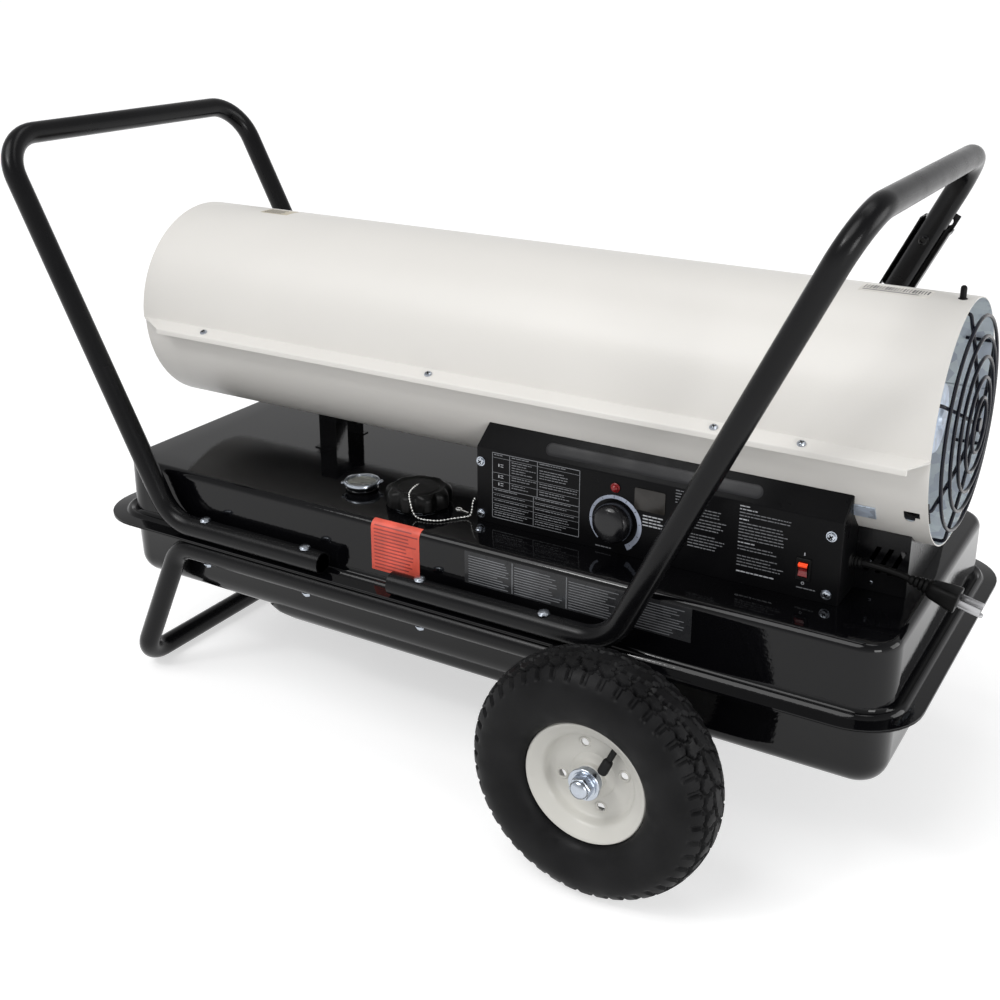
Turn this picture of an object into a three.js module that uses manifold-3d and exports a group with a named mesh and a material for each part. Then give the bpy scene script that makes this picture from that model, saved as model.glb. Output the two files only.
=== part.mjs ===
// Portable kerosene forced air heater on two wheels.
// Millimetres. +X runs along the barrel to the fan intake, -X is the hot air outlet, +Z is up.
// The near side, -Y, carries the control panel. The origin is on the ground, under the middle.
import * as THREE from 'three';
import { mergeVertices } from 'three/addons/utils/BufferGeometryUtils.js';
import Module from 'manifold-3d';

const wasm = await Module();
wasm.setup();

// ---------------------------------------------------------------- driving dimensions

const seat = 0.3; // clearance between pieces that touch
const running = 0.4; // clearance of what turns or slides

const sheet = 1.5; // steel sheet of the tank and the brackets
const skin = 1.2; // steel sheet of the barrel and the panel

const tank = { x0: -450, x1: 562.8, halfY: 218.5, corner: 66, flangeZ: 204.5 };
const tankUpper = { wallIn: 30, draft: 2, round: 22, top: 275 };
const bead = { in: 22, halfWidth: 4.5, rise: 4.3 };
const tankLower = { wallIn: 30, draft: 2, round: 25, bottom: 121 };
const sump = { x0: -215, x1: 246, halfY: tank.halfY - 37.5, bottom: 112, rampPerMm: 7 };

const barrel = { outlet: -426.5, intake: 536, r: 122.5, stand: 39.5 };
barrel.z = tankUpper.top + barrel.stand + barrel.r;
const lip = { reach: 17, drop: 6, edge: 6, outletCut: 38 };
const keyhole = { x: 520.5, z: barrel.z - 64, w: 9, h: 12 };

const tube = { r: 12.7, wall: 1.8, y: tank.halfY - 11, bend: 52 };
const frontHandle = { runEnd: -93.4, bendX: -320.8, topX: -550.1, topZ: 657 };
const rearHandle = { runEnd: 1.1, bendX: 264.3, topX: 482.3, topZ: 668 };
const foot = { bendX: -311.7, x: -392 };
const rail = { tailLength: 112, tailAngle: 42 };

const wheel = { x: 294.4, y: tube.y + 83.5, r: 127, halfWidth: 41, seatR: 52, flangeR: 63.5, flangeY: 24 };
const axle = { r: 8, hubR: 14, hubHalf: 22, washer: 2.5, nut: 13, nutR: 12.5 };

const chamber = { x0: -404, x1: 118, r: barrel.r - 34.5 };
const outletCone = { x0: -421, x1: -396, r: barrel.r - 29.5 };
const baffle = { x: -330, r: 46, bolt: 9 };
const burner = { x0: 96, x1: 168, r: 44, throat: 27 };
const nozzle = { x0: 104, x1: 200, r: 5.5, block: 15 };
const fan = { x: 318, r: barrel.r - 10.5, hubR: 22, hubHalf: 13, blades: 5, pitch: 32, chord: 74 };
const motor = { x0: 348, x1: 472, r: 61, shaftR: 4, shaftX0: 296 };
const pump = { x1: 500, r: 45, cover: 14, coverR: 38 };
const guard = { x: 543, dome: 9, wire: 1.9, rings: 5, innerR: 27, outerR: barrel.r - 17 };

const support = { x0: 66, x1: 517, halfY: 76 };
const strut = { x: -228, length: 38, halfY: 30, foot: 14 };
const panel = {
  x0: 60, x1: 463, y: -barrel.r - 4, crease: barrel.z - 75.5, backY: -barrel.r + 13, backZ: barrel.z - 57.5,
};
const knob = { x: 228.4, z: 311.5, r: 20, depth: 16, shaftR: 3 };
const lamp = { x: 227.4, z: 348, r: 4.2 };
const displayWindow = { x: 266, z: 336, w: 38, h: 25 };
const rocker = { x: 429.5, z: 307, w: 13.4, r: 11, bezelW: 21, bezelH: 31, tilt: 8 };
const board = { x0: 150, x1: 300, z0: 286, z1: 350, standoff: 20 };

const filler = { x: -20, y: 96.5 - tank.halfY, neckR: 24, bore: 21.5, rise: 10, drop: 13, collarR: 32 };
const cap = { r: 38, height: 20, lobes: 9, lobeDepth: 3.5 };
const gauge = { x: -101, y: 98.5 - tank.halfY, r: 21, height: 11, stemR: 7, pivotZ: 206, armLength: 84 };
const float = { r: 13, length: 34, restAngle: 36 };
const drain = { x: 120, r: 9, headR: 13 };

const cord = { r: 3.6, exitY: -91, exitZ: 309.5, glandLength: 13, run: 45.7, fall: 4.9, drift: 1, points: 16 };
const cordRoute = Array.from({ length: cord.points }, (_, i) => {
  const s = i / (cord.points - 1);
  const x = panel.x1 + cord.glandLength + seat + cord.run * s;
  return [x, cord.exitY - cord.drift * s * s, cord.exitZ - cord.fall * s * s];
});
const plug = { relief: 19, body: 29, w: 25, h: 20, blade: 18 };

const fuelLine = { x: 215, y: 7, r: 3 };
const airLine = { x: 185, y: -7, r: 4, runZ: 296 };

// ---------------------------------------------------------------- solids and booleans

/** A closed three.js geometry as a solid, its faces pointing out. */
function solid(geometry) {
  const plain = geometry.index ? geometry.toNonIndexed() : geometry.clone();
  plain.deleteAttribute('normal');
  plain.deleteAttribute('uv');
  const merged = mergeVertices(plain, 1e-4);
  const p = merged.attributes.position.array;
  const index = merged.index.array;
  const triangles = [];
  let volume = 0;
  const at = (i) => new THREE.Vector3(p[3 * i], p[3 * i + 1], p[3 * i + 2]);
  for (let i = 0; i < index.length; i += 3) {
    const [a, b, c] = [index[i], index[i + 1], index[i + 2]];
    if (a === b || b === c || c === a) continue;
    triangles.push(a, b, c);
    volume += at(a).dot(at(b).cross(at(c)));
  }
  if (volume < 0) triangles.reverse();
  return new wasm.Manifold(new wasm.Mesh({
    numProp: 3,
    vertProperties: Float32Array.from(p),
    triVerts: Uint32Array.from(triangles),
  }));
}

const fuse = (...solids) => solids.reduce((sum, next) => sum.add(next));
const cut = (base, ...tools) => tools.reduce((rest, tool) => rest.subtract(tool), base);

/** The solid's faces as a geometry with flat normals. */
function geometryOf(body) {
  const mesh = body.getMesh();
  const indexed = new THREE.BufferGeometry();
  const points = new Float32Array(mesh.numVert * 3);
  for (let i = 0; i < mesh.numVert; i++) {
    for (let k = 0; k < 3; k++) points[3 * i + k] = mesh.vertProperties[mesh.numProp * i + k];
  }
  indexed.setAttribute('position', new THREE.BufferAttribute(points, 3));
  indexed.setIndex(Array.from(mesh.triVerts));
  const geometry = indexed.toNonIndexed();
  geometry.computeVertexNormals();
  return geometry;
}

const group = new THREE.Group();

/** Adds one named piece, placed where its solid is. */
function add(name, body, material) {
  const mesh = new THREE.Mesh(geometryOf(body), material);
  mesh.name = name;
  group.add(mesh);
  return mesh;
}

/** Adds one named piece whose solid is built about the origin, at a place and turn. */
function addAt(name, body, material, place, turn = [0, 0, 0]) {
  const mesh = add(name, body, material);
  mesh.position.set(...place);
  mesh.rotation.set(...turn);
  return mesh;
}

// ---------------------------------------------------------------- shapes

function box(x0, x1, y0, y1, z0, z1) {
  const geometry = new THREE.BoxGeometry(x1 - x0, y1 - y0, z1 - z0);
  return solid(geometry.translate((x0 + x1) / 2, (y0 + y1) / 2, (z0 + z1) / 2));
}

const outline = (points) => new THREE.Shape(points.map(([a, b]) => new THREE.Vector2(a, b)));

/** An outline in [y, z] drawn out along X. */
function prismX(points, x0, x1) {
  const geometry = new THREE.ExtrudeGeometry(outline(points), { depth: x1 - x0, bevelEnabled: false });
  const basis = new THREE.Matrix4().makeBasis(
    new THREE.Vector3(0, 1, 0), new THREE.Vector3(0, 0, 1), new THREE.Vector3(1, 0, 0));
  return solid(geometry.applyMatrix4(basis).translate(x0, 0, 0));
}

/** An outline in [x, z] drawn out along Y. */
function prismY(points, y0, y1) {
  const geometry = new THREE.ExtrudeGeometry(outline(points), { depth: y1 - y0, bevelEnabled: false });
  return solid(geometry.rotateX(Math.PI / 2).translate(0, y1, 0));
}

/** An outline in [x, y] drawn up along Z. */
function prismZ(points, z0, z1) {
  const geometry = new THREE.ExtrudeGeometry(outline(points), { depth: z1 - z0, bevelEnabled: false });
  return solid(geometry.translate(0, 0, z0));
}

/** A closed profile of [radius, height] turned about Z. */
function turnedZ(profile, segments = 32) {
  const points = profile.map(([r, h]) => new THREE.Vector2(r, h));
  const closed = profile[0][0] === 0 && profile.at(-1)[0] === 0;
  if (!closed) points.push(points[0].clone());
  return solid(new THREE.LatheGeometry(points, segments).rotateX(Math.PI / 2));
}

/** A closed profile of [radius, x] turned about the X line through y = 0, z. */
const turnedX = (profile, segments, z = barrel.z) =>
  turnedZ(profile, segments).rotate([0, 90, 0]).translate([0, 0, z]);

/** A closed profile of [radius, distance out from y = 0] turned about the Y line through x, z. */
const turnedY = (profile, segments, x, z, side = -1) =>
  turnedZ(profile, segments).rotate([side < 0 ? 90 : -90, 0, 0]).translate([x, 0, z]);

const rod = (r, x0, x1, segments = 24, z = barrel.z) =>
  turnedX([[0, x0], [r, x0], [r, x1], [0, x1]], segments, z);
const rodY = (r, out0, out1, segments, x, z, side = -1) =>
  turnedY([[0, out0], [r, out0], [r, out1], [0, out1]], segments, x, z, side);
const rodZ = (r, z0, z1, segments, x, y) =>
  turnedZ([[0, z0], [r, z0], [r, z1], [0, z1]], segments).translate([x, y, 0]);

/** Points of an arc about [a, b], from one angle to another in degrees. */
function arc(a, b, r, from, to, steps) {
  return Array.from({ length: steps + 1 }, (_, i) => {
    const angle = THREE.MathUtils.degToRad(from + ((to - from) * i) / steps);
    return [a + r * Math.cos(angle), b + r * Math.sin(angle)];
  });
}

/** The line moved sideways, to its left, by a distance, with mitred corners. */
function offsetLine(points, distance) {
  return points.map((point, i) => {
    const before = points[Math.max(i - 1, 0)];
    const after = points[Math.min(i + 1, points.length - 1)];
    const into = new THREE.Vector2(point[0] - before[0], point[1] - before[1]).normalize();
    const out = new THREE.Vector2(after[0] - point[0], after[1] - point[1]).normalize();
    if (i === 0) into.copy(out);
    if (i === points.length - 1) out.copy(into);
    const side = new THREE.Vector2(-into.y - out.y, into.x + out.x).normalize();
    const stretch = distance / (side.x * -into.y + side.y * into.x);
    return [point[0] + side.x * stretch, point[1] + side.y * stretch];
  });
}

/** The closed outline of a bent sheet whose one face is the line and whose other is to its left. */
const bentSheet = (points, thickness) => [...points, ...offsetLine(points, thickness).reverse()];

/** A centre line of straights and bends, sampled only where its direction changes. */
class PipeLine extends THREE.Curve {
  constructor(corners, bend, stepsPerBend) {
    super();
    const at = corners.map((corner) => new THREE.Vector3(...corner));
    this.stations = [];
    this.stations.push({ point: at[0], tangent: at[1].clone().sub(at[0]).normalize() });
    for (let i = 1; i < at.length - 1; i++) {
      const into = at[i].clone().sub(at[i - 1]).normalize();
      const out = at[i + 1].clone().sub(at[i]).normalize();
      const turn = into.angleTo(out);
      const reach = bend * Math.tan(turn / 2);
      const start = at[i].clone().addScaledVector(into, -reach);
      const inward = out.clone().addScaledVector(into, -out.dot(into)).normalize();
      for (let k = 0; k <= stepsPerBend; k++) {
        const angle = (turn * k) / stepsPerBend;
        const point = start.clone()
          .addScaledVector(into, bend * Math.sin(angle))
          .addScaledVector(inward, bend * (1 - Math.cos(angle)));
        const tangent = into.clone().multiplyScalar(Math.cos(angle))
          .addScaledVector(inward, Math.sin(angle)).normalize();
        this.stations.push({ point, tangent });
      }
    }
    this.stations.push({ point: at.at(-1), tangent: at.at(-1).clone().sub(at.at(-2)).normalize() });
  }

  station(u) {
    return this.stations[Math.round(u * (this.stations.length - 1))];
  }

  getPointAt(u, target = new THREE.Vector3()) {
    return target.copy(this.station(u).point);
  }

  getTangentAt(u, target = new THREE.Vector3()) {
    return target.copy(this.station(u).tangent);
  }
}

const polygon = (r, sides) => arc(0, 0, r, 0, 360 - 360 / sides, sides - 1);

/** A round tube or rod bent along its corners, all drawn with the same bend radius. */
function pipe(corners, bend, r, wall = 0, sides = 8, stepsPerBend = 3) {
  const line = new PipeLine(corners, bend, stepsPerBend);
  const section = outline(polygon(r, sides));
  const boreSides = Math.max(5, Math.round(sides * 0.6));
  if (wall > 0) {
    section.holes.push(new THREE.Path(outline(polygon(r - wall, boreSides)).getPoints().reverse()));
  }
  const steps = line.stations.length - 1;
  return solid(new THREE.ExtrudeGeometry(section, { steps, extrudePath: line, bevelEnabled: false }));
}

/** Rounded rectangles in plan, drawn in by their insets, joined into one skin and capped. */
function loft(plan, profile, leftShare = 1, rightShare = 1, cornerSteps = 3) {
  const positions = [];
  const ring = ([inset, z]) => {
    const r = Math.max(plan.corner - inset, 8);
    const x0 = plan.x0 + inset * leftShare + r;
    const x1 = plan.x1 - inset * rightShare - r;
    const y = plan.halfY - inset - r;
    const corners = [[x1, y, 0], [x0, y, 90], [x0, -y, 180], [x1, -y, 270]];
    return corners.flatMap(([cx, cy, from]) =>
      arc(cx, cy, r, from, from + 90, cornerSteps).map(([x, py]) => new THREE.Vector3(x, py, z)));
  };
  const rings = profile.map(ring);
  const triangle = (a, b, c) => positions.push(...a.toArray(), ...b.toArray(), ...c.toArray());
  rings.slice(1).forEach((upper, i) => {
    const lower = rings[i];
    lower.forEach((a, k) => {
      const next = (k + 1) % lower.length;
      triangle(a, lower[next], upper[next]);
      triangle(a, upper[next], upper[k]);
    });
  });
  const capEnd = (points, flip) => {
    const flat = points.map((point) => new THREE.Vector2(point.x, point.y));
    for (const [a, b, c] of THREE.ShapeUtils.triangulateShape(flat, [])) {
      triangle(points[a], points[flip ? c : b], points[flip ? b : c]);
    }
  };
  capEnd(rings[0], true);
  capEnd(rings.at(-1), false);
  const geometry = new THREE.BufferGeometry();
  geometry.setAttribute('position', new THREE.Float32BufferAttribute(positions, 3));
  return solid(geometry);
}

// ---------------------------------------------------------------- materials

const finish = (color, roughness, metalness) => new THREE.MeshStandardMaterial({ color, roughness, metalness });
const finishes = {
  glossBlack: () => finish(0x0b0b0d, 0.15, 0.3),
  satinBlack: () => finish(0x141416, 0.45, 0.3),
  shellWhite: () => finish(0xe6e2d8, 0.4, 0.1),
  rimWhite: () => finish(0xdcd9d0, 0.45, 0.1),
  galvanised: () => finish(0xa9b3c0, 0.4, 0.8),
  zinc: () => finish(0xc4cbd4, 0.3, 0.9),
  steel: () => finish(0x8d8f92, 0.45, 0.9),
  heatSteel: () => finish(0x7a7672, 0.55, 0.8),
  rubber: () => finish(0x1d1e20, 0.85, 0),
  plastic: () => finish(0x121212, 0.5, 0),
  red: () => finish(0xc81e14, 0.3, 0),
  brass: () => finish(0xb08d4a, 0.35, 0.9),
  copper: () => finish(0xb4704a, 0.35, 0.9),
  glass: () => finish(0xdfe6e8, 0.05, 0),
  smoked: () => finish(0x0a0a12, 0.1, 0),
  ceramic: () => finish(0xe9e4d6, 0.6, 0),
  circuit: () => finish(0x1f5a34, 0.6, 0),
};

// ---------------------------------------------------------------- fuel tank

const filletSteps = 2;

/** Profile of the upper pressing's outside, as [inset from the flange edge, z]. */
function upperTankLine(grow = 0) {
  const { wallIn, draft, round, top } = tankUpper;
  const z = tank.flangeZ;
  const topIn = wallIn + draft;
  return offsetLine([
    [0, z],
    [bead.in - bead.halfWidth, z],
    [bead.in - 1.5, z + bead.rise],
    [bead.in + 1.5, z + bead.rise],
    [wallIn - 3, z + 1],
    [wallIn, z + 5],
    ...arc(topIn + round, top - round, round, 180, 90, filletSteps),
    [topIn + round + 30, top],
  ], grow);
}

/** Profile of the lower pressing's outside, as [inset from the flange edge, z]. */
function lowerTankLine(grow = 0) {
  const { wallIn, draft, round, bottom } = tankLower;
  const z = tank.flangeZ - sheet - seat - sheet;
  const lowIn = wallIn + draft;
  return offsetLine([
    [0, z],
    [wallIn - 4, z],
    [wallIn, z - 4],
    ...arc(lowIn + round, bottom + round, round, 180, 270, filletSteps),
    [lowIn + round + 30, bottom],
  ], grow);
}

/** The sump is a deeper part of the bottom, with long ramps in front and a short one behind. */
function sumpSolid(shrink) {
  const plan = { x0: sump.x0, x1: sump.x1, halfY: sump.halfY - shrink, corner: 30 };
  const high = tankLower.bottom + tankLower.round;
  const low = sump.bottom + shrink;
  const line = [[0, high], [0, low + 12], [3.5, low + 3.5], [12, low]];
  return loft(plan, line, sump.rampPerMm, 1, 2);
}

const rightShare = 0.84; // the pressed walls stand closer to the flange's edge at the intake end
const wheelGap = 26; // half length of the groove that the axle passes through
const grooveTop = wheel.r + axle.r + 5;

const tankHoles = {
  filler: (r, z0, z1) => rodZ(r, z0, z1, 20, filler.x, filler.y),
  gauge: (r, z0, z1) => rodZ(r, z0, z1, 12, gauge.x, gauge.y),
  fuel: (r, z0, z1) => rodZ(r, z0, z1, 10, fuelLine.x, fuelLine.y),
};

function upperTank() {
  const outer = upperTankLine();
  const inner = upperTankLine(-sheet);
  const line = [...inner.reverse(), ...outer];
  line[inner.length - 1] = [0, tank.flangeZ - sheet];
  const top = tankUpper.top;
  return cut(
    loft(tank, line, 1, rightShare),
    tankHoles.filler(filler.neckR + seat, top - 9, top + 9),
    tankHoles.gauge(gauge.stemR + seat, top - 9, top + 9),
    tankHoles.fuel(fuelLine.r + seat, top - 9, top + 9),
  );
}

/** The groove across the bottom for the axle, grown by the sheet's thickness on the inside. */
function axleGroove(grow) {
  const half = wheelGap + grow;
  const top = grooveTop + grow;
  return prismY([
    [wheel.x - half, 90], [wheel.x + half, 90], [wheel.x + half, top - 8],
    [wheel.x + half - 8, top], [wheel.x - half + 8, top], [wheel.x - half, top - 8],
  ], -tank.halfY, tank.halfY);
}

function lowerTank() {
  const lift = tank.flangeZ - sheet - seat;
  const rim = [[0, lift], ...lowerTankLine()];
  const hollow = [[tankLower.wallIn - 3, lift + 5], ...lowerTankLine(sheet).slice(2)];
  hollow[0][0] = hollow[1][0];
  const outside = cut(fuse(loft(tank, rim, 1, rightShare), sumpSolid(0)), axleGroove(0));
  const inside = cut(fuse(loft(tank, hollow, 1, rightShare), sumpSolid(sheet)), axleGroove(sheet));
  const plugHole = rodZ(drain.r + seat, sump.bottom - 9, sump.bottom + 9, 14, drain.x, 0);
  return cut(outside, inside, plugHole);
}

function fillerNeck() {
  const top = tankUpper.top;
  const { neckR, bore, rise, drop, collarR } = filler;
  return turnedZ([
    [bore, top - drop], [neckR, top - drop], [neckR, top + seat], [collarR, top + seat],
    [collarR, top + seat + 1.8], [neckR, top + seat + 1.8], [neckR, top + rise], [bore, top + rise],
  ], 16).translate([filler.x, filler.y, 0]);
}

const capBottom = tankUpper.top + seat + 1.8 + running; // above the neck's collar
const capTop = capBottom + cap.height;
const capRoof = 6.5;
const gasketBottom = tankUpper.top + filler.rise + seat;

/** The cap is a cup with a scalloped grip, over the neck. */
function fuelCap() {
  const steps = cap.lobes * 3;
  const grip = Array.from({ length: steps }, (_, i) => {
    const wave = Math.cos((2 * Math.PI * i * cap.lobes) / steps);
    const r = cap.r - (cap.lobeDepth * (1 - wave)) / 2;
    return [r * Math.cos((2 * Math.PI * i) / steps), r * Math.sin((2 * Math.PI * i) / steps)];
  });
  const skirt = prismZ(grip, 0, cap.height);
  const crown = turnedZ([
    [0, -1], [cap.r + 1, -1], [cap.r + 1, cap.height - 6], [cap.r - 4, cap.height], [0, cap.height],
  ], 18);
  const inside = rodZ(filler.neckR + 1.6, -5, cap.height - capRoof, 20, 0, 0);
  const body = cut(skirt.intersect(crown), inside);
  return body.translate([filler.x, filler.y, capBottom]);
}

function capGasket() {
  const roof = capTop - capRoof - seat;
  const { neckR, bore } = filler;
  return turnedZ([
    [bore - 3.5, gasketBottom], [neckR + 0.8, gasketBottom], [neckR + 0.8, roof], [bore - 3.5, roof],
  ], 16).translate([filler.x, filler.y, 0]);
}

const gaugeBase = tankUpper.top + seat;
const gaugeFloor = gaugeBase + 3;

/** A round dish with a rolled rim; its floor is the dial. */
function gaugeBezel() {
  const { r, height } = gauge;
  return turnedZ([
    [0, gaugeBase], [r - 4, gaugeBase], [r - 3, gaugeBase + height - 4], [r, gaugeBase + height - 3],
    [r, gaugeBase + height], [r - 4, gaugeBase + height], [r - 4, gaugeFloor], [0, gaugeFloor],
  ], 20).translate([gauge.x, gauge.y, 0]);
}

const lensTop = gaugeBase + gauge.height - 0.5;

const gaugeLens = () => rodZ(gauge.r - 4 - seat, lensTop - 1.5, lensTop, 20, gauge.x, gauge.y);

/** A pointer on a centre boss, just above the dial. */
function gaugeNeedle() {
  const low = gaugeFloor + seat;
  const pointer = prismZ([[-4, -1.2], [-4, 1.2], [13, 0.4], [13, -0.4]], low + 1, low + 2);
  return fuse(rodZ(2.2, low, low + 3, 10, 0, 0), pointer).translate([gauge.x, gauge.y, 0]);
}

/** A tube down from the gauge, with two ears for the float arm's pivot. */
function gaugeStem() {
  const { stemR, pivotZ } = gauge;
  const shank = rodZ(stemR, pivotZ + 8, gaugeBase - seat, 12, 0, 0);
  const ear = (side) => box(-6, 6, side * 5 - 1.5, side * 5 + 1.5, pivotZ - 6, pivotZ + 9);
  const pin = turnedZ([[0, -4], [1.5, -4], [1.5, 4], [0, 4]], 8).rotate([90, 0, 0]);
  return fuse(shank, ear(1), ear(-1), pin.translate([0, 0, pivotZ])).translate([gauge.x, gauge.y, 0]);
}

/** A cylinder float on a flat arm, drawn hanging at the empty stop. */
function floatArm() {
  const { armLength } = gauge;
  const arm = cut(
    fuse(box(0, armLength - float.r + 2, -1.2, 1.2, -3, 3),
      turnedZ([[0, -1.2], [4, -1.2], [4, 1.2], [0, 1.2]], 12).rotate([90, 0, 0])),
    turnedZ([[0, -3], [1.5 + running, -3], [1.5 + running, 3], [0, 3]], 10).rotate([90, 0, 0]),
  );
  const half = float.length / 2;
  const can = turnedZ([
    [0, -half], [float.r - 2, -half], [float.r, 2 - half],
    [float.r, half - 2], [float.r - 2, half], [0, half],
  ], 14).rotate([90, 0, 0]).translate([armLength, 0, 0]);
  return fuse(arm, can).rotate([0, float.restAngle, 0]).translate([gauge.x, gauge.y, gauge.pivotZ]);
}

function drainPlug() {
  const low = sump.bottom - seat;
  const head = prismZ(polygon(drain.headR, 6), low - 7, low);
  return fuse(head, rodZ(drain.r, low - 1, sump.bottom + sheet + 8, 14, 0, 0)).translate([drain.x, 0, 0]);
}

add('tank_upper_shell', upperTank(), finishes.glossBlack());
add('tank_lower_shell', lowerTank(), finishes.glossBlack());
add('filler_neck', fillerNeck(), finishes.zinc());
add('fuel_cap', fuelCap(), finishes.plastic());
add('cap_gasket', capGasket(), finishes.rubber());
add('gauge_bezel', gaugeBezel(), finishes.zinc());
add('gauge_lens', gaugeLens(), finishes.glass());
add('gauge_needle', gaugeNeedle(), finishes.red());
add('gauge_stem', gaugeStem(), finishes.zinc());
add('float_arm', floatArm(), finishes.brass());
add('drain_plug', drainPlug(), finishes.zinc());

// ---------------------------------------------------------------- handles, frame and running gear

const handleZ = tank.flangeZ + seat + tube.r;
const railZ = tank.flangeZ - 2 * sheet - 2 * seat - tube.r;

/** A U handle: runs on the flange, legs leaning away, one cross grip. */
function handle({ runEnd, bendX, topX, topZ }) {
  const side = (s) => [[runEnd, s * tube.y, handleZ], [bendX, s * tube.y, handleZ], [topX, s * tube.y, topZ]];
  return pipe([...side(-1), ...side(1).reverse()], tube.bend, tube.r, tube.wall);
}

/** Rails under the flange, joined by the front foot, with tails that carry the axle. */
function supportFrame() {
  const angle = THREE.MathUtils.degToRad(rail.tailAngle);
  const rise = railZ - wheel.r;
  const bendX = wheel.x - rise / Math.tan(angle);
  const side = (s) => [
    [bendX + rail.tailLength * Math.cos(angle), s * tube.y, railZ - rail.tailLength * Math.sin(angle)],
    [bendX, s * tube.y, railZ],
    [foot.bendX, s * tube.y, railZ],
    [foot.x, s * tube.y, tube.r],
  ];
  const body = pipe([...side(-1), ...side(1).reverse()], tube.bend, tube.r, tube.wall, 8, 2);
  return cut(body, rodY(axle.r + seat, -tube.y - 20, tube.y + 20, 12, wheel.x, wheel.r));
}

/** Two forked arms and a back plate that the cord is wound on, screwed to the far rear leg. */
function cordHook() {
  const plate = box(-17, 17, 0, 2, -42, 42);
  const flange = (s) => box(s * 17 - 1, s * 17 + 1, -16, 2, -42, 42);
  const ear = (s) => box(s * 17 - 1, s * 17 + 1, -16, 14, 28, 42);
  const notch = box(-30, 30, 4, 20, 32, 37);
  const body = cut(fuse(plate, flange(1), flange(-1), ear(1), ear(-1)), notch);
  const lean = Math.atan2(rearHandle.topX - rearHandle.bendX, rearHandle.topZ - handleZ);
  const along = 0.76;
  const x = rearHandle.bendX + (rearHandle.topX - rearHandle.bendX) * along;
  const z = handleZ + (rearHandle.topZ - handleZ) * along;
  return body.rotate([0, THREE.MathUtils.radToDeg(lean), 0])
    .translate([x, tube.y + tube.r + seat, z]);
}

const hubEnd = wheel.y + axle.hubHalf;
const washerEnd = hubEnd + running + axle.washer;

function axleRod() {
  return rodY(axle.r, -washerEnd - 8, washerEnd + 8, 16, wheel.x, wheel.r);
}

/** A washer and a domed nut on the axle's end, as one turned piece. */
function axleNut(side) {
  const start = hubEnd + running;
  const hex = 6;
  const bore = axle.r + 0.3 + seat;
  const dome = turnedY([
    [bore, start], [axle.nutR + 4, start], [axle.nutR + 4, washerEnd], [axle.nutR - 1.6, washerEnd],
    [axle.nutR - 1.6, washerEnd + axle.nut * 0.6], [axle.nutR - 4, washerEnd + axle.nut * 0.85],
    [0, washerEnd + axle.nut], [0, washerEnd + 8 + seat], [bore, washerEnd + 8 + seat],
  ], 10, wheel.x, wheel.r, side);
  const flats = arc(wheel.x, wheel.r, axle.nutR, 0, 300, hex - 1);
  const hole = arc(wheel.x, wheel.r, axle.nutR - 3, 0, 315, 7);
  const [low, high] = [washerEnd - 0.5, washerEnd + axle.nut * 0.5];
  const collar = cut(prismY(flats, low, high), prismY(hole, low - 1, high + 1));
  return fuse(dome, side < 0 ? collar.mirror([0, 1, 0]) : collar);
}

function axleSpacer(side) {
  const start = tube.y + tube.r + seat;
  const end = wheel.y - axle.hubHalf - running;
  return turnedY([
    [axle.r + seat, start], [axle.hubR - 2, start], [axle.hubR - 2, end], [axle.r + seat, end],
  ], 12, wheel.x, wheel.r, side);
}

/** Tyre section: rounded tread, full side walls, and beads on the rim. */
function tyre(side) {
  const { r, halfWidth, seatR, flangeR, y } = wheel;
  const foot = wheel.flangeY - 0.6;
  const half = [
    [seatR, foot - 7], [flangeR - 3.9, foot], [flangeR + 0.6, foot], [flangeR + 3, foot + 4],
    [r - 42, halfWidth - 1], [r - 26, halfWidth], [r - 9, halfWidth - 9], [r, 14],
  ];
  const inside = [[r - 14, 15]];
  return turnedY([
    ...half.map(([a, b]) => [a, y - b]), ...half.reverse().map(([a, b]) => [a, y + b]),
    ...[...inside].reverse().map(([a, b]) => [a, y + b]), ...inside.map(([a, b]) => [a, y - b]),
  ], 20, wheel.x, wheel.r, side);
}

/** Pressed steel rim: two rolled edges, a bead seat, and a dished web to the hub. */
function rim(side) {
  const { y, flangeR, flangeY, seatR } = wheel;
  const t = 2.2;
  const bore = axle.hubR + seat;
  const inR = seatR - seat;
  return turnedY([
    [flangeR, y + flangeY], [flangeR, y + flangeY + 2], [flangeR - 5, y + flangeY + 1.6],
    [inR - 5, y + 9], [bore + 8, y + 5], [bore, y + 9], [bore, y + 9 - t], [bore + 8, y + 5 - t],
    [inR - t - 2.5, y + 3], [inR - t - 2.5, y - flangeY + 5], [flangeR - 5, y - flangeY - 2],
    [flangeR, y - flangeY - 2], [flangeR, y - flangeY], [flangeR - 4, y - flangeY], [inR, y - flangeY + 7],
    [inR, y + flangeY - 7], [flangeR - 4, y + flangeY],
  ], 20, wheel.x, wheel.r, side);
}

/** Hub tube with its bushes, running on the axle. */
function hub(side) {
  const inner = wheel.y - axle.hubHalf;
  return turnedY([
    [axle.r + running, inner], [axle.hubR, inner], [axle.hubR, hubEnd], [axle.r + running, hubEnd],
  ], 16, wheel.x, wheel.r, side);
}

add('handle_front', handle(frontHandle), finishes.satinBlack());
add('handle_rear', handle(rearHandle), finishes.satinBlack());
add('support_frame', supportFrame(), finishes.satinBlack());
add('cord_hook', cordHook(), finishes.satinBlack());
add('axle', axleRod(), finishes.zinc());
for (const [name, side] of [['near', -1], ['far', 1]]) {
  add(`axle_nut_${name}`, axleNut(side), finishes.zinc());
  add(`axle_spacer_${name}`, axleSpacer(side), finishes.zinc());
  add(`tyre_${name}`, tyre(side), finishes.rubber());
  add(`rim_${name}`, rim(side), finishes.rimWhite());
  add(`hub_${name}`, hub(side), finishes.zinc());
}

// ---------------------------------------------------------------- barrel

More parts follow.
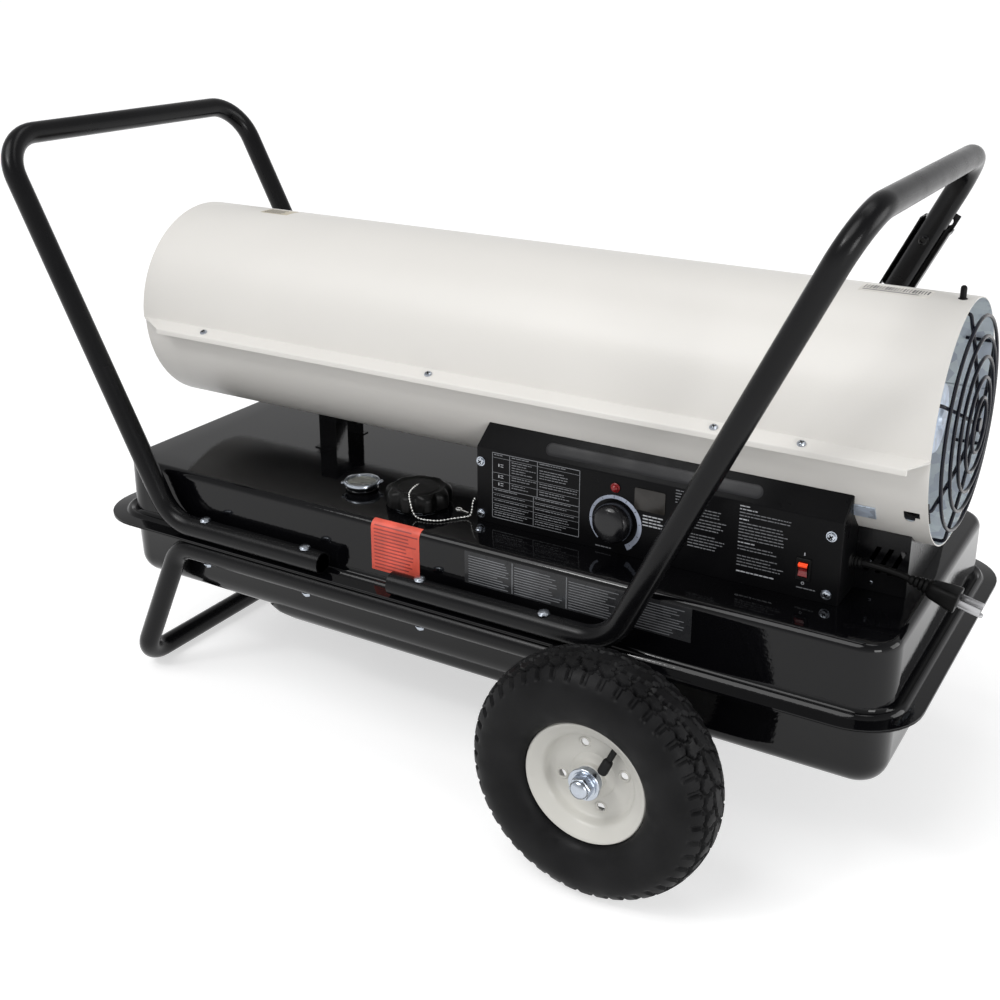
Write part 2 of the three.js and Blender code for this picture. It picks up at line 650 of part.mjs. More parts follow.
const barrelSteps = 32;
const lipSlope = lip.drop / lip.reach;
const lipGap = (2 * skin + seat) * Math.hypot(1, lipSlope); // from lip face to flange underside

/** The lips' ends are cut back at a slant: the plan that the lipped shells are kept inside. */
function lipPlan(reach) {
  const wide = barrel.r + reach;
  const [a, b] = [barrel.outlet, barrel.intake];
  const front = a + (reach * lip.outletCut) / lip.reach;
  return prismZ([
    [a, -barrel.r], [front, -wide], [b - reach, -wide], [b, -barrel.r],
    [b, barrel.r], [b - reach, wide], [front, wide], [a, barrel.r],
  ], 0, 2 * barrel.z);
}

function upperShell() {
  const { r, z } = barrel;
  const wide = r + lip.reach;
  const line = [
    [wide, z - lip.drop - lip.edge], [wide, z - lip.drop],
    ...arc(0, z, r, 0, 180, barrelSteps),
    [-wide, z - lip.drop], [-wide, z - lip.drop - lip.edge],
  ];
  return prismX(bentSheet(line, skin), barrel.outlet, barrel.intake).intersect(lipPlan(lip.reach + 0.01));
}

/** The lower shell's flanges lie under the upper shell's lips. */
function lowerShell() {
  const { r, z } = barrel;
  const reach = lip.reach - skin - seat - 0.5;
  const start = THREE.MathUtils.radToDeg(Math.asin(lipGap / r));
  const line = [
    [-r - reach, z - lipGap - reach * lipSlope],
    ...arc(0, z, r, 180 + start, 360 - start, barrelSteps),
    [r + reach, z - lipGap - reach * lipSlope],
  ];
  const shell = prismX(bentSheet(line, skin), barrel.outlet + 5, barrel.intake).intersect(lipPlan(reach));
  const low = z - r - 20;
  const { x, w, h } = keyhole;
  return cut(
    shell,
    box(x - w / 2, x + w / 2, -r - 5, -r / 2, keyhole.z - h / 2, keyhole.z + h / 2),
    rodZ(fuelLine.r + 1, low, z, 10, fuelLine.x, fuelLine.y),
    rodZ(airLine.r + 1, low, z, 10, airLine.x, airLine.y),
    rodZ(airLine.r + 1, low, z, 10, pumpPortX, airLine.y),
  );
}

const pumpPortX = (motor.x1 + pump.x1) / 2 + 2;
const boreR = barrel.r - skin; // inside radius of both shells

/** Radial fins that carry a round piece from the shell, as [angle, inner radius]. */
function fins(angles, innerR, x0, x1, thickness = 2) {
  return angles.map((angle) => {
    const fin = box(x0, x1, innerR, boreR - seat, -thickness / 2, thickness / 2);
    return fin.rotate([angle, 0, 0]).translate([0, 0, barrel.z]);
  });
}

function combustionChamber() {
  const { x0, x1, r } = chamber;
  const mouth = burner.r + seat + 0.6;
  const shell = turnedX([
    [mouth, x1 - sheet], [mouth, x1], [r, x1], [r, x0], [r - sheet, x0],
    [r - sheet, x1 - sheet],
  ], 20);
  const legs = (at) => fins([45, 135, 225, 315], r - sheet - 0.5, at, at + 24);
  return fuse(shell, ...legs(x0 + 60), ...legs(x1 - 70));
}

/** Ring that guides the air past the chamber's mouth; its rolled edge closes the outlet. */
function outletRing() {
  const { x0, x1, r } = outletCone;
  const outer = boreR * Math.cos(Math.PI / 64) - seat;
  return turnedX([
    [outer, x0], [outer, x0 + 9], [outer - sheet, x0 + 9], [outer - 4, x0 + 3],
    [r + sheet, x1], [r, x1], [outer - 6, x0],
  ], 24);
}

/** Dished disc that holds the flame, on three arms from the chamber's wall. */
function flameBaffle() {
  const { x, r, bolt } = baffle;
  const disc = turnedX([[0, x], [r - 6, x + 4], [r, x + 10], [r + 2, x + 10], [r - 4, x + 2], [0, x - 2]], 16);
  const inner = r - 6;
  const reach = (chamber.r - sheet) * Math.cos(Math.PI / 20) - seat;
  const arms = [90, 210, 330].map((angle) => box(x + 3, x + 3 + bolt, inner, reach, -1, 1)
    .rotate([angle, 0, 0]).translate([0, 0, barrel.z]));
  return fuse(disc, ...arms);
}

/** Open cup with a flange, air slots round its wall and a throat that the nozzle sprays through. */
function burnerHead() {
  const { x0, x1, r, throat } = burner;
  const cup = turnedX([
    [throat, x0], [r, x0], [r, chamber.x1 + seat], [r + 10, chamber.x1 + seat],
    [r + 10, chamber.x1 + seat + 2], [r, chamber.x1 + seat + 2], [r, x1], [r - 2, x1],
    [r - 2, x0 + 2], [throat, x0 + 2],
  ], 16);
  const slots = [90, 270].map((angle) => box(x1 - 32, x1 - 10, r - 6, r + 4, -5, 5)
    .rotate([angle, 0, 0]).translate([0, 0, barrel.z]));
  const spider = [0, 120, 240].map((angle) => box(x1 - 6, x1 - 3, nozzle.block + 1.5, r - 1, -4, 4)
    .rotate([angle, 0, 0]).translate([0, 0, barrel.z]));
  const collar = turnedX([
    [nozzle.block + 1, x1 - 8], [nozzle.block + 3, x1 - 8], [nozzle.block + 3, x1], [nozzle.block + 1, x1],
  ], 12);
  return fuse(cut(cup, ...slots), ...spider, collar);
}

/** Nozzle, its holder and the block that the fuel and air lines screw into. */
function nozzleHolder() {
  const { x0, x1, r, block } = nozzle;
  return fuse(
    turnedX([[0, x0], [2, x0], [r, x0 + 6], [r, x0 + 20], [9, x0 + 20], [9, x0 + 40], [0, x0 + 40]], 12),
    rod(block, x0 + 38, x1 - 24, 14),
    box(x1 - 30, x1, -block, block, barrel.z - 9, barrel.z + 9),
  );
}

/** Two ceramic rods with bent tips over the nozzle, held in the cup's flange. */
function igniter() {
  const wire = (s) => pipe([
    [x1 + 22, s * 7, z], [nozzle.x0 + 4, s * 7, z], [nozzle.x0 - 6, s * 2.4, z - 9],
  ], 6, 1, 0, 5, 2);
  const { x1 } = chamber;
  const z = barrel.z + 20;
  const porcelain = (s) => rod(4, nozzle.x0 + 10, x1 + 16, 10, z).translate([0, s * 7, 0]);
  const roof = barrel.z + Math.sqrt((burner.r - 2.5) ** 2 - 11 ** 2) - seat;
  const bridge = box(x1 + 4, x1 + 10, -11, 11, z - 1, roof);
  return fuse(wire(1), wire(-1), porcelain(1), porcelain(-1), bridge);
}

/** Light sensor in a bent bracket that looks at the flame through the chamber's back plate. */
function flameSensor() {
  const { x1 } = chamber;
  const z = barrel.z + burner.r + 20;
  const eye = rod(5, x1 + seat + 3, x1 + 22, 12, z);
  return fuse(eye, box(x1 + seat, x1 + seat + 4, -8, 8, z - 8, z + 12));
}

/** One blade: a plate twisted along its radius. */
function blade() {
  const { hubR, r, chord, pitch } = fan;
  const positions = [];
  const across = 2;
  const along = 2;
  const thickness = 1.6;
  const point = (i, k, face) => {
    const radius = hubR - 4 + ((r - hubR + 4) * i) / along;
    const width = chord * (0.6 + (0.4 * i) / along);
    const twist = THREE.MathUtils.degToRad(pitch - (14 * i) / along);
    const s = (k / across - 0.5) * width;
    const bow = 5 * (1 - (2 * k / across - 1) ** 2);
    const [cos, sin] = [Math.cos(twist), Math.sin(twist)];
    const swing = (s * cos) / radius;
    const lift = s * sin + bow + (face ? thickness / 2 : -thickness / 2);
    return new THREE.Vector3(lift, radius * Math.sin(swing), radius * Math.cos(swing));
  };
  const quad = (a, b, c, d) => [a, b, c, a, c, d].forEach((v) => positions.push(v.x, v.y, v.z));
  for (let i = 0; i < along; i++) {
    for (let k = 0; k < across; k++) {
      quad(point(i, k, 1), point(i + 1, k, 1), point(i + 1, k + 1, 1), point(i, k + 1, 1));
      quad(point(i, k, 0), point(i, k + 1, 0), point(i + 1, k + 1, 0), point(i + 1, k, 0));
    }
    quad(point(i, 0, 0), point(i + 1, 0, 0), point(i + 1, 0, 1), point(i, 0, 1));
    quad(point(i, across, 1), point(i + 1, across, 1), point(i + 1, across, 0), point(i, across, 0));
  }
  for (let k = 0; k < across; k++) {
    quad(point(0, k, 0), point(0, k, 1), point(0, k + 1, 1), point(0, k + 1, 0));
    quad(point(along, k, 1), point(along, k, 0), point(along, k + 1, 0), point(along, k + 1, 1));
  }
  const geometry = new THREE.BufferGeometry();
  geometry.setAttribute('position', new THREE.Float32BufferAttribute(positions, 3));
  return solid(geometry);
}

function fanBlade() {
  const { x, hubR, hubHalf, blades } = fan;
  const one = blade();
  const all = Array.from({ length: blades }, (_, i) => one.rotate([(i * 360) / blades, 0, 0]));
  const hubBody = turnedX([
    [motor.shaftR + seat, -hubHalf], [hubR, -hubHalf], [hubR, hubHalf], [motor.shaftR + seat, hubHalf],
  ], 16, 0);
  const bore = rod(motor.shaftR + seat, -60, 60, 16, 0);
  return cut(fuse(hubBody, ...all), bore).translate([x, 0, barrel.z]);
}

const motorShaft = () => rod(motor.shaftR, motor.shaftX0, pump.x1 - 6, 16);

/** Motor can with its end bells and a clear bore for the shaft. */
function motorBody() {
  const { x0, x1, r, shaftR } = motor;
  const bore = shaftR + running;
  return turnedX([
    [bore, x0], [16, x0], [18, x0 + 6], [r - 8, x0 + 10], [r, x0 + 18],
    [r, x1 - 14], [r - 8, x1 - 6], [r - 14, x1], [bore, x1],
  ], 16);
}

/** Band round the motor with four arms to the shells. */
function motorBracket() {
  const { x0, x1, r } = motor;
  const middle = (x0 + x1) / 2;
  const band = turnedX([
    [r + seat, middle - 14], [r + seat + 2, middle - 14], [r + seat + 2, middle + 14], [r + seat, middle + 14],
  ], 16);
  return fuse(band, ...fins([45, 135, 225, 315], r + seat + 1, middle - 14, middle + 14, 2.5));
}

/** Rotary air pump on the motor's back end, with the hose port below. */
function airPump() {
  const { x1, r } = pump;
  const x0 = motor.x1 + seat;
  const ring = turnedX([
    [motor.shaftR + running, x0], [r, x0], [r, x1], [r - 6, x1], [r - 10, x1 - 4],
    [motor.shaftR + running, x1 - 4],
  ], 16);
  return ring;
}

/** Cover over the pump's air filter, with a stepped rim and a pressure port boss. */
function filterCover() {
  const { x1, cover, coverR } = pump;
  const x0 = x1 + seat;
  return turnedX([
    [0, x0], [coverR + 5, x0], [coverR + 5, x0 + 4], [coverR, x0 + 6], [coverR - 3, x0 + cover],
    [12, x0 + cover], [10, x0 + cover + 4], [0, x0 + cover + 4],
  ], 16);
}

/** Domed wire guard: rings on four radial wires whose ends turn in along the shell. */
function intakeGuard() {
  const { x, dome, wire, rings, innerR, outerR } = guard;
  const legR = boreR * Math.cos(Math.PI / 64) - seat;
  const ringPitch = (outerR - innerR) / (rings - 1);
  const domeX = (r) => x - dome * (r / outerR) ** 2;
  const ringAt = (r) => solid(new THREE.TorusGeometry(r, wire, 3, 4 * Math.round(2.2 + r / 40)).rotateY(Math.PI / 2))
    .translate([domeX(r), 0, barrel.z]);
  const leg = (angle) => pipe([
    [domeX(0) - wire, 0, 0], [domeX(outerR * 0.7) - wire, 0, outerR * 0.7],
    [domeX(outerR) - wire, 0, outerR], [domeX(outerR) - wire - 3, 0, legR - wire],
    [domeX(outerR) - 26, 0, legR - wire],
  ], 5, wire, 0, 3, 1).rotate([angle, 0, 0]).translate([0, 0, barrel.z]);
  const boss = rod(7, domeX(0) - wire * 2, domeX(0) + 1, 12);
  const all = Array.from({ length: rings }, (_, i) => ringAt(innerR + i * ringPitch));
  return fuse(boss, ...all, ...[20, 110, 200, 290].map(leg));
}

add('barrel_upper_shell', upperShell(), finishes.shellWhite());
add('barrel_lower_shell', lowerShell(), finishes.shellWhite());
add('combustion_chamber', combustionChamber(), finishes.heatSteel());
add('outlet_ring', outletRing(), finishes.heatSteel());
add('flame_baffle', flameBaffle(), finishes.heatSteel());
add('burner_head', burnerHead(), finishes.heatSteel());
add('nozzle_holder', nozzleHolder(), finishes.brass());
add('igniter', igniter(), finishes.ceramic());
add('flame_sensor', flameSensor(), finishes.plastic());
add('fan_blade', fanBlade(), finishes.galvanised());
add('motor_shaft', motorShaft(), finishes.steel());
add('motor', motorBody(), finishes.satinBlack());
add('motor_bracket', motorBracket(), finishes.galvanised());
add('air_pump', airPump(), finishes.steel());
add('filter_cover', filterCover(), finishes.galvanised());
add('intake_guard', intakeGuard(), finishes.satinBlack());

// ---------------------------------------------------------------- supports, control panel and lines

const shellRoom = (clearance) => rod(barrel.r + clearance, barrel.outlet - 50, barrel.intake + 50, 64);

/** Long sheet box under the barrel, saddle cut, louvred beside the panel. */
function rearSupport() {
  const { x0, x1, halfY } = support;
  const floor = tankUpper.top + seat;
  const outer = box(x0, x1, -halfY, halfY, floor, barrel.z);
  const inner = box(x0 + sheet, x1 - sheet, -halfY + sheet, halfY - sheet, floor + sheet, barrel.z + 9);
  const turned = box(x0 + 20, x1 - 20, -halfY + 18, halfY - 18, floor - 5, floor + 5);
  const louvre = (x, side) => prismY(
    [[x, floor + 20], [x + 5, floor + 20], [x + 17, floor + 48], [x + 12, floor + 48]],
    side * halfY - 4, side * halfY + 4);
  const louvres = [0, 1, 2].flatMap((i) => [-1, 1].map((side) => louvre(x1 - 44 + i * 12, side)));
  return cut(outer, inner, turned, shellRoom(seat), ...louvres);
}

/** Top-hat bracket under the outlet end, its roof bent to the barrel. */
function frontSupport() {
  const { x, length, halfY, foot: footWidth } = strut;
  const floor = tankUpper.top + seat;
  const saddleR = barrel.r + seat + sheet;
  const half = THREE.MathUtils.radToDeg(Math.asin(halfY / saddleR));
  const rest = [
    [-halfY - footWidth, floor], [-halfY, floor],
    ...arc(0, barrel.z, saddleR, 270 - half, 270 + half, 8),
    [halfY, floor], [halfY + footWidth, floor],
  ];
  return prismX(bentSheet(rest, sheet), x - length / 2, x + length / 2);
}

const panelFloor = tankUpper.top + seat;

/** Panel box: front, sloping top and side plates of one sheet, open at the back and bottom. */
function controlPanel() {
  const { x0, x1, y, crease, backY, backZ } = panel;
  const back = -support.halfY - seat;
  const section = (d) => [
    [back + (d ? 9 : 0), panelFloor - (d ? 9 : 0)], [y + d, panelFloor - (d ? 9 : 0)],
    [y + d, crease - d * 0.4], [backY + d * 0.6, backZ - d * 1.2], [back + (d ? 9 : 0), backZ - d * 1.2],
  ];
  const outer = prismX(section(0), x0, x1);
  const inner = prismX(section(skin), x0 + skin, x1 - skin);
  const holes = [
    rodY(knob.shaftR + 4 + seat, -y - 5, -y + 5, 14, knob.x, knob.z),
    rodY(lamp.r - 1 + seat, -y - 5, -y + 5, 12, lamp.x, lamp.z),
    box(rocker.x - rocker.bezelW / 2 + 2 - seat, rocker.x + rocker.bezelW / 2 - 2 + seat, y - 5, y + 5,
      rocker.z - rocker.bezelH / 2 + 2 - seat, rocker.z + rocker.bezelH / 2 - 2 + seat),
    rod(cord.r + 3.2 + seat, x1 - 5, x1 + 5, 14, cord.exitZ).translate([0, cord.exitY, 0]),
  ];
  return cut(outer, inner, shellRoom(seat), ...holes);
}

/** Control board on four standoffs from the back of the panel. */
function controlBoard() {
  const { x0, x1, z0, z1, standoff } = board;
  const back = panel.y + skin + seat;
  const card = box(x0, x1, back + standoff, back + standoff + 1.6, z0, z1);
  const posts = [[x0 + 8, z0 + 8], [x1 - 8, z0 + 8], [x0 + 8, z1 - 8], [x1 - 8, z1 - 8]]
    .map(([x, z]) => rodY(3, -back - standoff - 0.5, -back, 8, x, z));
  const relays = [20, 48].map((dx) => box(x0 + dx, x0 + dx + 18, back + standoff - 11, back + standoff + 0.5,
    z0 + 22, z0 + 42));
  return fuse(card, ...posts, ...relays);
}

/** Thermostat body behind the panel, with the bush that the knob's shaft turns in. */
function thermostat() {
  const back = panel.y + skin + seat;
  const bush = knob.shaftR + 4;
  return turnedY([
    [knob.shaftR + running, -back - 17], [12, -back - 17], [12, -back], [bush, -back], [bush, -panel.y + 2],
    [knob.shaftR + running, -panel.y + 2],
  ], 14, knob.x, knob.z);
}

/** Knob: domed, with a raised pointer bar across its face, a hollow back, and its shaft. */
function thermostatKnob() {
  const { r, depth, shaftR } = knob;
  const start = -panel.y + 0.8;
  const dish = turnedY([
    [0, start + 3], [r - 4, start + 3], [r - 4, start], [r, start], [r, start + 7], [r - 2, start + 12],
    [r - 8, start + depth - 1], [0, start + depth],
  ], 14, knob.x, knob.z);
  const shaft = rodY(shaftR, start - 16, start + 4, 12, knob.x, knob.z);
  const bar = box(knob.x - 1.6, knob.x + 1.6, -start - depth - 0.8, -start - depth + 5, knob.z, knob.z + r - 6);
  return fuse(dish, bar, shaft);
}

const lampBody = () => turnedY([
  [0, -panel.y - 8], [lamp.r - 1, -panel.y - 8], [lamp.r - 1, -panel.y + seat], [lamp.r + 1, -panel.y + seat],
  [lamp.r + 1, -panel.y + 1.4], [lamp.r - 1, -panel.y + 1.4], [lamp.r - 2, -panel.y + 4], [0, -panel.y + 5],
], 10, lamp.x, lamp.z);

function panelWindow() {
  const { x, z, w, h } = displayWindow;
  const front = panel.y - seat;
  return box(x - w / 2, x + w / 2, front - 0.8, front, z - h / 2, z + h / 2);
}

/** Rocker switch housing: a flange in front of the panel, a body behind it, an open well. */
function switchBezel() {
  const { x, z, w, r, bezelW, bezelH } = rocker;
  const front = panel.y - seat;
  const [hx, hz] = [bezelW / 2, bezelH / 2];
  const flange = box(x - hx, x + hx, front - 2, front, z - hz, z + hz);
  const body = box(x - hx + 2, x + hx - 2, front - 1, front + 26, z - hz + 2, z + hz - 2);
  const well = box(x - w / 2 - running, x + w / 2 + running, front - 9, front + 16, z - r - running,
    z + r + running);
  return cut(fuse(flange, body), well);
}

/** The rocker: a round backed block with two faces that meet in a shallow V. */
function switchRocker() {
  const { w, r, tilt, x, z } = rocker;
  const face = 0.62 * r;
  const edge = Math.sqrt(r * r - face * face);
  const turn = THREE.MathUtils.degToRad(tilt);
  const round = arc(0, 0, r, -62, 62, 8);
  const line = [[-face, -edge], ...arc(0, 0, r, -90, -75, 1), ...round, ...arc(0, 0, r, 75, 90, 1),
    [-face, edge], [-face + 3, 0]];
  const turned = line.map(([a, b]) => [
    panel.y + 1 + a * Math.cos(turn) - b * Math.sin(turn), z + a * Math.sin(turn) + b * Math.cos(turn)]);
  return prismX(turned, x - w / 2, x + w / 2);
}

/** Folded tab that ties the panel's end to the lower shell. */
function panelTab() {
  const { x1 } = panel;
  const z = barrel.z - 69;
  const reachY = (at) => -Math.sqrt((barrel.r + seat + 0.2) ** 2 - (barrel.z - at) ** 2);
  const line = [[reachY(z - 7), z - 7], [reachY(z), z], [reachY(z + 7), z + 7]];
  const strip = prismX(bentSheet(line, 1.4), x1 + seat, x1 + 24);
  const foldY = reachY(z + 7);
  return fuse(strip, box(x1 + seat, x1 + 2, foldY - 9, foldY - 0.7, z - 6, z + 6));
}

function transformer() {
  const floor = tankUpper.top + seat + sheet + seat;
  const [x0, x1, y] = [330, 404, 34];
  const core = box(x0, x1, y - 26, y + 26, floor, floor + 30);
  const bushes = [-1, 1].map((s) => rodZ(5, floor + 29, floor + 34, 10, x0 + 14, y + s * 9));
  const ledge = box(x0 - 8, x1 + 8, y - 34, y + 34, floor, floor + 2);
  return fuse(core, ledge, ...bushes);
}

function fuelPipe() {
  const { x, y, r } = fuelLine;
  return pipe([[x, y, 128], [x, y, barrel.z], [nozzle.x1 + seat, y, barrel.z]], 11, r, 0.8, 7, 3);
}

function airHose() {
  const { x, y, r, runZ } = airLine;
  return pipe([
    [pumpPortX, y, barrel.z - pump.r - seat], [pumpPortX, y, runZ],
    [x, y, runZ], [x, y, barrel.z - 9 - seat],
  ], 12, r, 1.2, 7, 2);
}

add('rear_support', rearSupport(), finishes.satinBlack());
add('front_support', frontSupport(), finishes.satinBlack());
add('control_panel', controlPanel(), finishes.satinBlack());
add('control_board', controlBoard(), finishes.circuit());
add('thermostat', thermostat(), finishes.steel());
add('thermostat_knob', thermostatKnob(), finishes.plastic());
add('indicator_lamp', lampBody(), finishes.red());
add('panel_window', panelWindow(), finishes.smoked());
add('switch_bezel', switchBezel(), finishes.plastic());
add('switch_rocker', switchRocker(), finishes.red());
add('panel_tab', panelTab(), finishes.zinc());
add('ignition_transformer', transformer(), finishes.satinBlack());
add('fuel_line', fuelPipe(), finishes.copper());
add('air_line', airHose(), finishes.rubber());

// ---------------------------------------------------------------- cord and plug

/** Tapered strain relief through the panel's end plate. */
function cordGland() {
  const { r, exitY, exitZ, glandLength } = cord;
  const x = panel.x1;
  const neck = r + 3.2;
  return turnedX([
    [0, x - 8], [neck + 2, x - 8], [neck + 2, x - skin - seat], [neck, x - skin - seat], [neck, x + seat],
    [neck + 2.5, x + seat], [neck + 2.5, x + 3], [neck - 1, x + 4], [r + 1, x + glandLength], [0, x + glandLength],
  ], 12, exitZ).translate([0, exitY, 0]);
}

function powerCord() {
  const curve = new THREE.CatmullRomCurve3(cordRoute.map((point) => new THREE.Vector3(...point)));
  const section = outline(polygon(cord.r, 10));
  return solid(new THREE.ExtrudeGeometry(section, { steps: 5, extrudePath: curve, bevelEnabled: false }));
}

/** Moulded plug about its own axis: ribbed relief, tapered grip, two flat blades and a ground pin. */
function powerPlug() {
  const { relief, body, w, h, blade: bladeLength } = plug;
  const ribs = Array.from({ length: 3 }, (_, i) => {
    const at = 1 + i * 6.2;
    const r = cord.r + 1.2 + i * 1.2;
    return [[r, at], [r, at + 4], [r - 1.2, at + 4.2], [r - 1.2, at + 6]];
  }).flat();
  const tail = turnedZ([[0, 0], [cord.r + 0.8, 0], ...ribs, [8, relief], [8, relief + 3], [0, relief + 3]], 10);
  const grip = prismZ([
    [-w / 2 + 5, -h / 2], [w / 2 - 5, -h / 2], [w / 2, -h / 2 + 5], [w / 2, h / 2 - 5],
    [w / 2 - 5, h / 2], [-w / 2 + 5, h / 2], [-w / 2, h / 2 - 5], [-w / 2, -h / 2 + 5],
  ], relief, relief + body);
  const blades = [-6.35, 6.35].map((x) => box(x - 0.75, x + 0.75, -1.8, 4.5, relief + body - 1,
    relief + body + bladeLength));
  const pin = rodZ(2.4, relief + body - 1, relief + body + bladeLength + 2, 8, 0, -5);
  return fuse(tail, grip, ...blades, pin);
}

const cordEnd = new THREE.Vector3(...cordRoute.at(-1));
const cordHeading = cordEnd.clone().sub(new THREE.Vector3(...cordRoute.at(-2))).normalize();
const plugTurn = new THREE.Euler().setFromQuaternion(
  new THREE.Quaternion().setFromUnitVectors(new THREE.Vector3(0, 0, 1), cordHeading)
    .multiply(new THREE.Quaternion().setFromAxisAngle(new THREE.Vector3(0, 0, 1), Math.PI / 2)));
const plugPlace = cordEnd.clone().addScaledVector(cordHeading, 2 * seat);

add('cord_gland', cordGland(), finishes.rubber());
add('power_cord', powerCord(), finishes.rubber());
addAt('power_plug', powerPlug(), finishes.rubber(), plugPlace.toArray(),
  [plugTurn.x, plugTurn.y, plugTurn.z]);

// The origin is under the middle of everything but the loose cord and its plug.
const bounds = new THREE.Box3();
group.updateMatrixWorld(true);
group.children.filter((mesh) => !['power_cord', 'power_plug'].includes(mesh.name))
  .forEach((mesh) => bounds.expandByObject(mesh, true));
const middle = bounds.getCenter(new THREE.Vector3()).setZ(bounds.min.z);
group.children.forEach((mesh) => mesh.position.sub(middle));

export default group;
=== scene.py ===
"""Looks for a portable forced air heater: smooth metalwork, tyres, controls, cord and plain labels.

Lengths are in millimetres until made() turns a mesh into metres. X runs along the barrel to the intake, -Y is
the near side with the control panel and +Z is up. Places along X are measured from a datum, and SHIFT takes
them to the frame's origin.
"""
import math
import random
from itertools import accumulate

import bmesh
import bpy
from mathutils import Matrix, Quaternion, Vector


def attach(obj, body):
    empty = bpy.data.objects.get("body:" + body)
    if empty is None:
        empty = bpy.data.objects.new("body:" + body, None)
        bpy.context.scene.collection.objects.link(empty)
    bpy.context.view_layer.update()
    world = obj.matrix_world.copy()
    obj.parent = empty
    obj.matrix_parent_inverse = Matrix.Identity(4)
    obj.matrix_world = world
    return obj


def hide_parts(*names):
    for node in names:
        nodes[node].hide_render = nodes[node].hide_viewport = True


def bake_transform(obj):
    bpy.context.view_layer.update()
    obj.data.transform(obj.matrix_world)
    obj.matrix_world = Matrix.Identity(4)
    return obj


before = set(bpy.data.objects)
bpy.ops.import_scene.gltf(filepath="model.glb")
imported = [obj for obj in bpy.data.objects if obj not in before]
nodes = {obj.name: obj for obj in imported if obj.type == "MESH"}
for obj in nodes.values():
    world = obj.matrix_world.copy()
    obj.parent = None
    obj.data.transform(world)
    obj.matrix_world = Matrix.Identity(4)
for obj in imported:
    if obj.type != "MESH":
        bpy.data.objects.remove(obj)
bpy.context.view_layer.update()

MM = 0.001
SHIFT = -0.29
X_AXIS, Y_AXIS, Z_AXIS, TO_NEAR = (1, 0, 0), (0, 1, 0), (0, 0, 1), (0, -1, 0)

# ---------------------------------------------------------------- camera


def linked(name, data):
    """A new object in the scene."""
    item = bpy.data.objects.new(name, data)
    bpy.context.scene.collection.objects.link(item)
    return item


def aim(item, direction, roll=0.0):
    """Turns a camera or a lamp to look along a direction."""
    item.rotation_mode = "QUATERNION"
    item.rotation_quaternion = Vector(direction).to_track_quat("-Z", "Y") @ Quaternion(Z_AXIS, roll)


AZIMUTH, TILT, ROLL = (math.radians(angle) for angle in (30.52, 19.31, 0.16))
camera = linked("camera", bpy.data.cameras.new("camera"))
camera.location = (0.7811, -1.2808, 0.8712)
aim(camera, (-math.sin(AZIMUTH) * math.cos(TILT), math.cos(AZIMUTH) * math.cos(TILT), -math.sin(TILT)), ROLL)
camera.data.sensor_width = 36
camera.data.lens = 48.43
camera.data.shift_x = -0.00934
camera.data.shift_y = -0.0829
camera.data.clip_end = 200
bpy.context.scene.camera = camera

# ---------------------------------------------------------------- materials

mats = {}


class Nodes:
    """The nodes of a material or of the world, with short calls to add to them."""

    def __init__(self, owner, shader="Principled BSDF"):
        owner.use_nodes = True
        self.tree = owner.node_tree
        self.shader = self.tree.nodes[shader]

    def feed(self, socket, value):
        """Links an output to the socket, or sets the socket's own number or colour."""
        if hasattr(value, "links"):
            self.tree.links.new(value, socket)
        else:
            socket.default_value = (*value, 1) if socket.type == "RGBA" else value

    def set(self, **values):
        for key, value in values.items():
            self.feed(self.shader.inputs[key.replace("_", " ")], value)

    def node(self, kind, inputs, **settings):
        added = self.tree.nodes.new(kind)
        for key, value in settings.items():
            setattr(added, key, value)
        for key, value in inputs.items():
            self.feed(added.inputs[key], value)
        return added

    def coords(self, stretch=(1, 1, 1)):
        place = self.node("ShaderNodeTexCoord", {}).outputs["Object"]
        return self.node("ShaderNodeMapping", {"Vector": place, "Scale": stretch}).outputs["Vector"]

    def noise(self, scale, detail=3, rough=0.5, stretch=(1, 1, 1)):
        inputs = {"Vector": self.coords(stretch), "Scale": scale, "Detail": detail, "Roughness": rough}
        return self.node("ShaderNodeTexNoise", inputs).outputs["Fac"]

    def ramp(self, value, stops, interpolation="LINEAR"):
        """Greys or colours by value, from stops of (value, grey or colour)."""
        added = self.node("ShaderNodeValToRGB", {"Fac": value})
        added.color_ramp.interpolation = interpolation
        elements = added.color_ramp.elements
        while len(elements) < len(stops):
            elements.new(0.5)
        for element, (place, color) in zip(elements, stops):
            element.position = place
            element.color = (*color, 1) if hasattr(color, "__len__") else (color, color, color, 1)
        return added.outputs["Color"]

    def mix(self, factor, a, b):
        return self.node("ShaderNodeMix", {0: factor, 6: a, 7: b}, data_type="RGBA").outputs[2]

    def math(self, operation, a, b):
        return self.node("ShaderNodeMath", {0: a, 1: b}, operation=operation).outputs[0]

    def bump(self, height, strength, distance=0.0005):
        added = self.node("ShaderNodeBump", {"Height": height, "Strength": strength, "Distance": distance})
        self.set(Normal=added.outputs["Normal"])


def new_finish(name):
    mats[name] = bpy.data.materials.new(name)
    return Nodes(mats[name])


def coated(name, color, worn, roughness, peel, specular=0.5, spread=0.25):
    """Paint: a faint blotch of tone, fine orange peel, and smudges in the gloss."""
    n = new_finish(name)
    low, high = roughness * (1 - spread), roughness * (1 + spread)
    n.set(
        Base_Color=n.mix(n.ramp(n.noise(9, 4), [(0.35, 0.0), (0.75, 1.0)]), color, worn),
        Roughness=n.ramp(n.noise(22, 5, 0.6), [(0.3, low), (0.75, high)]),
        Specular_IOR_Level=specular,
    )
    n.bump(n.noise(peel, 2), 0.12)


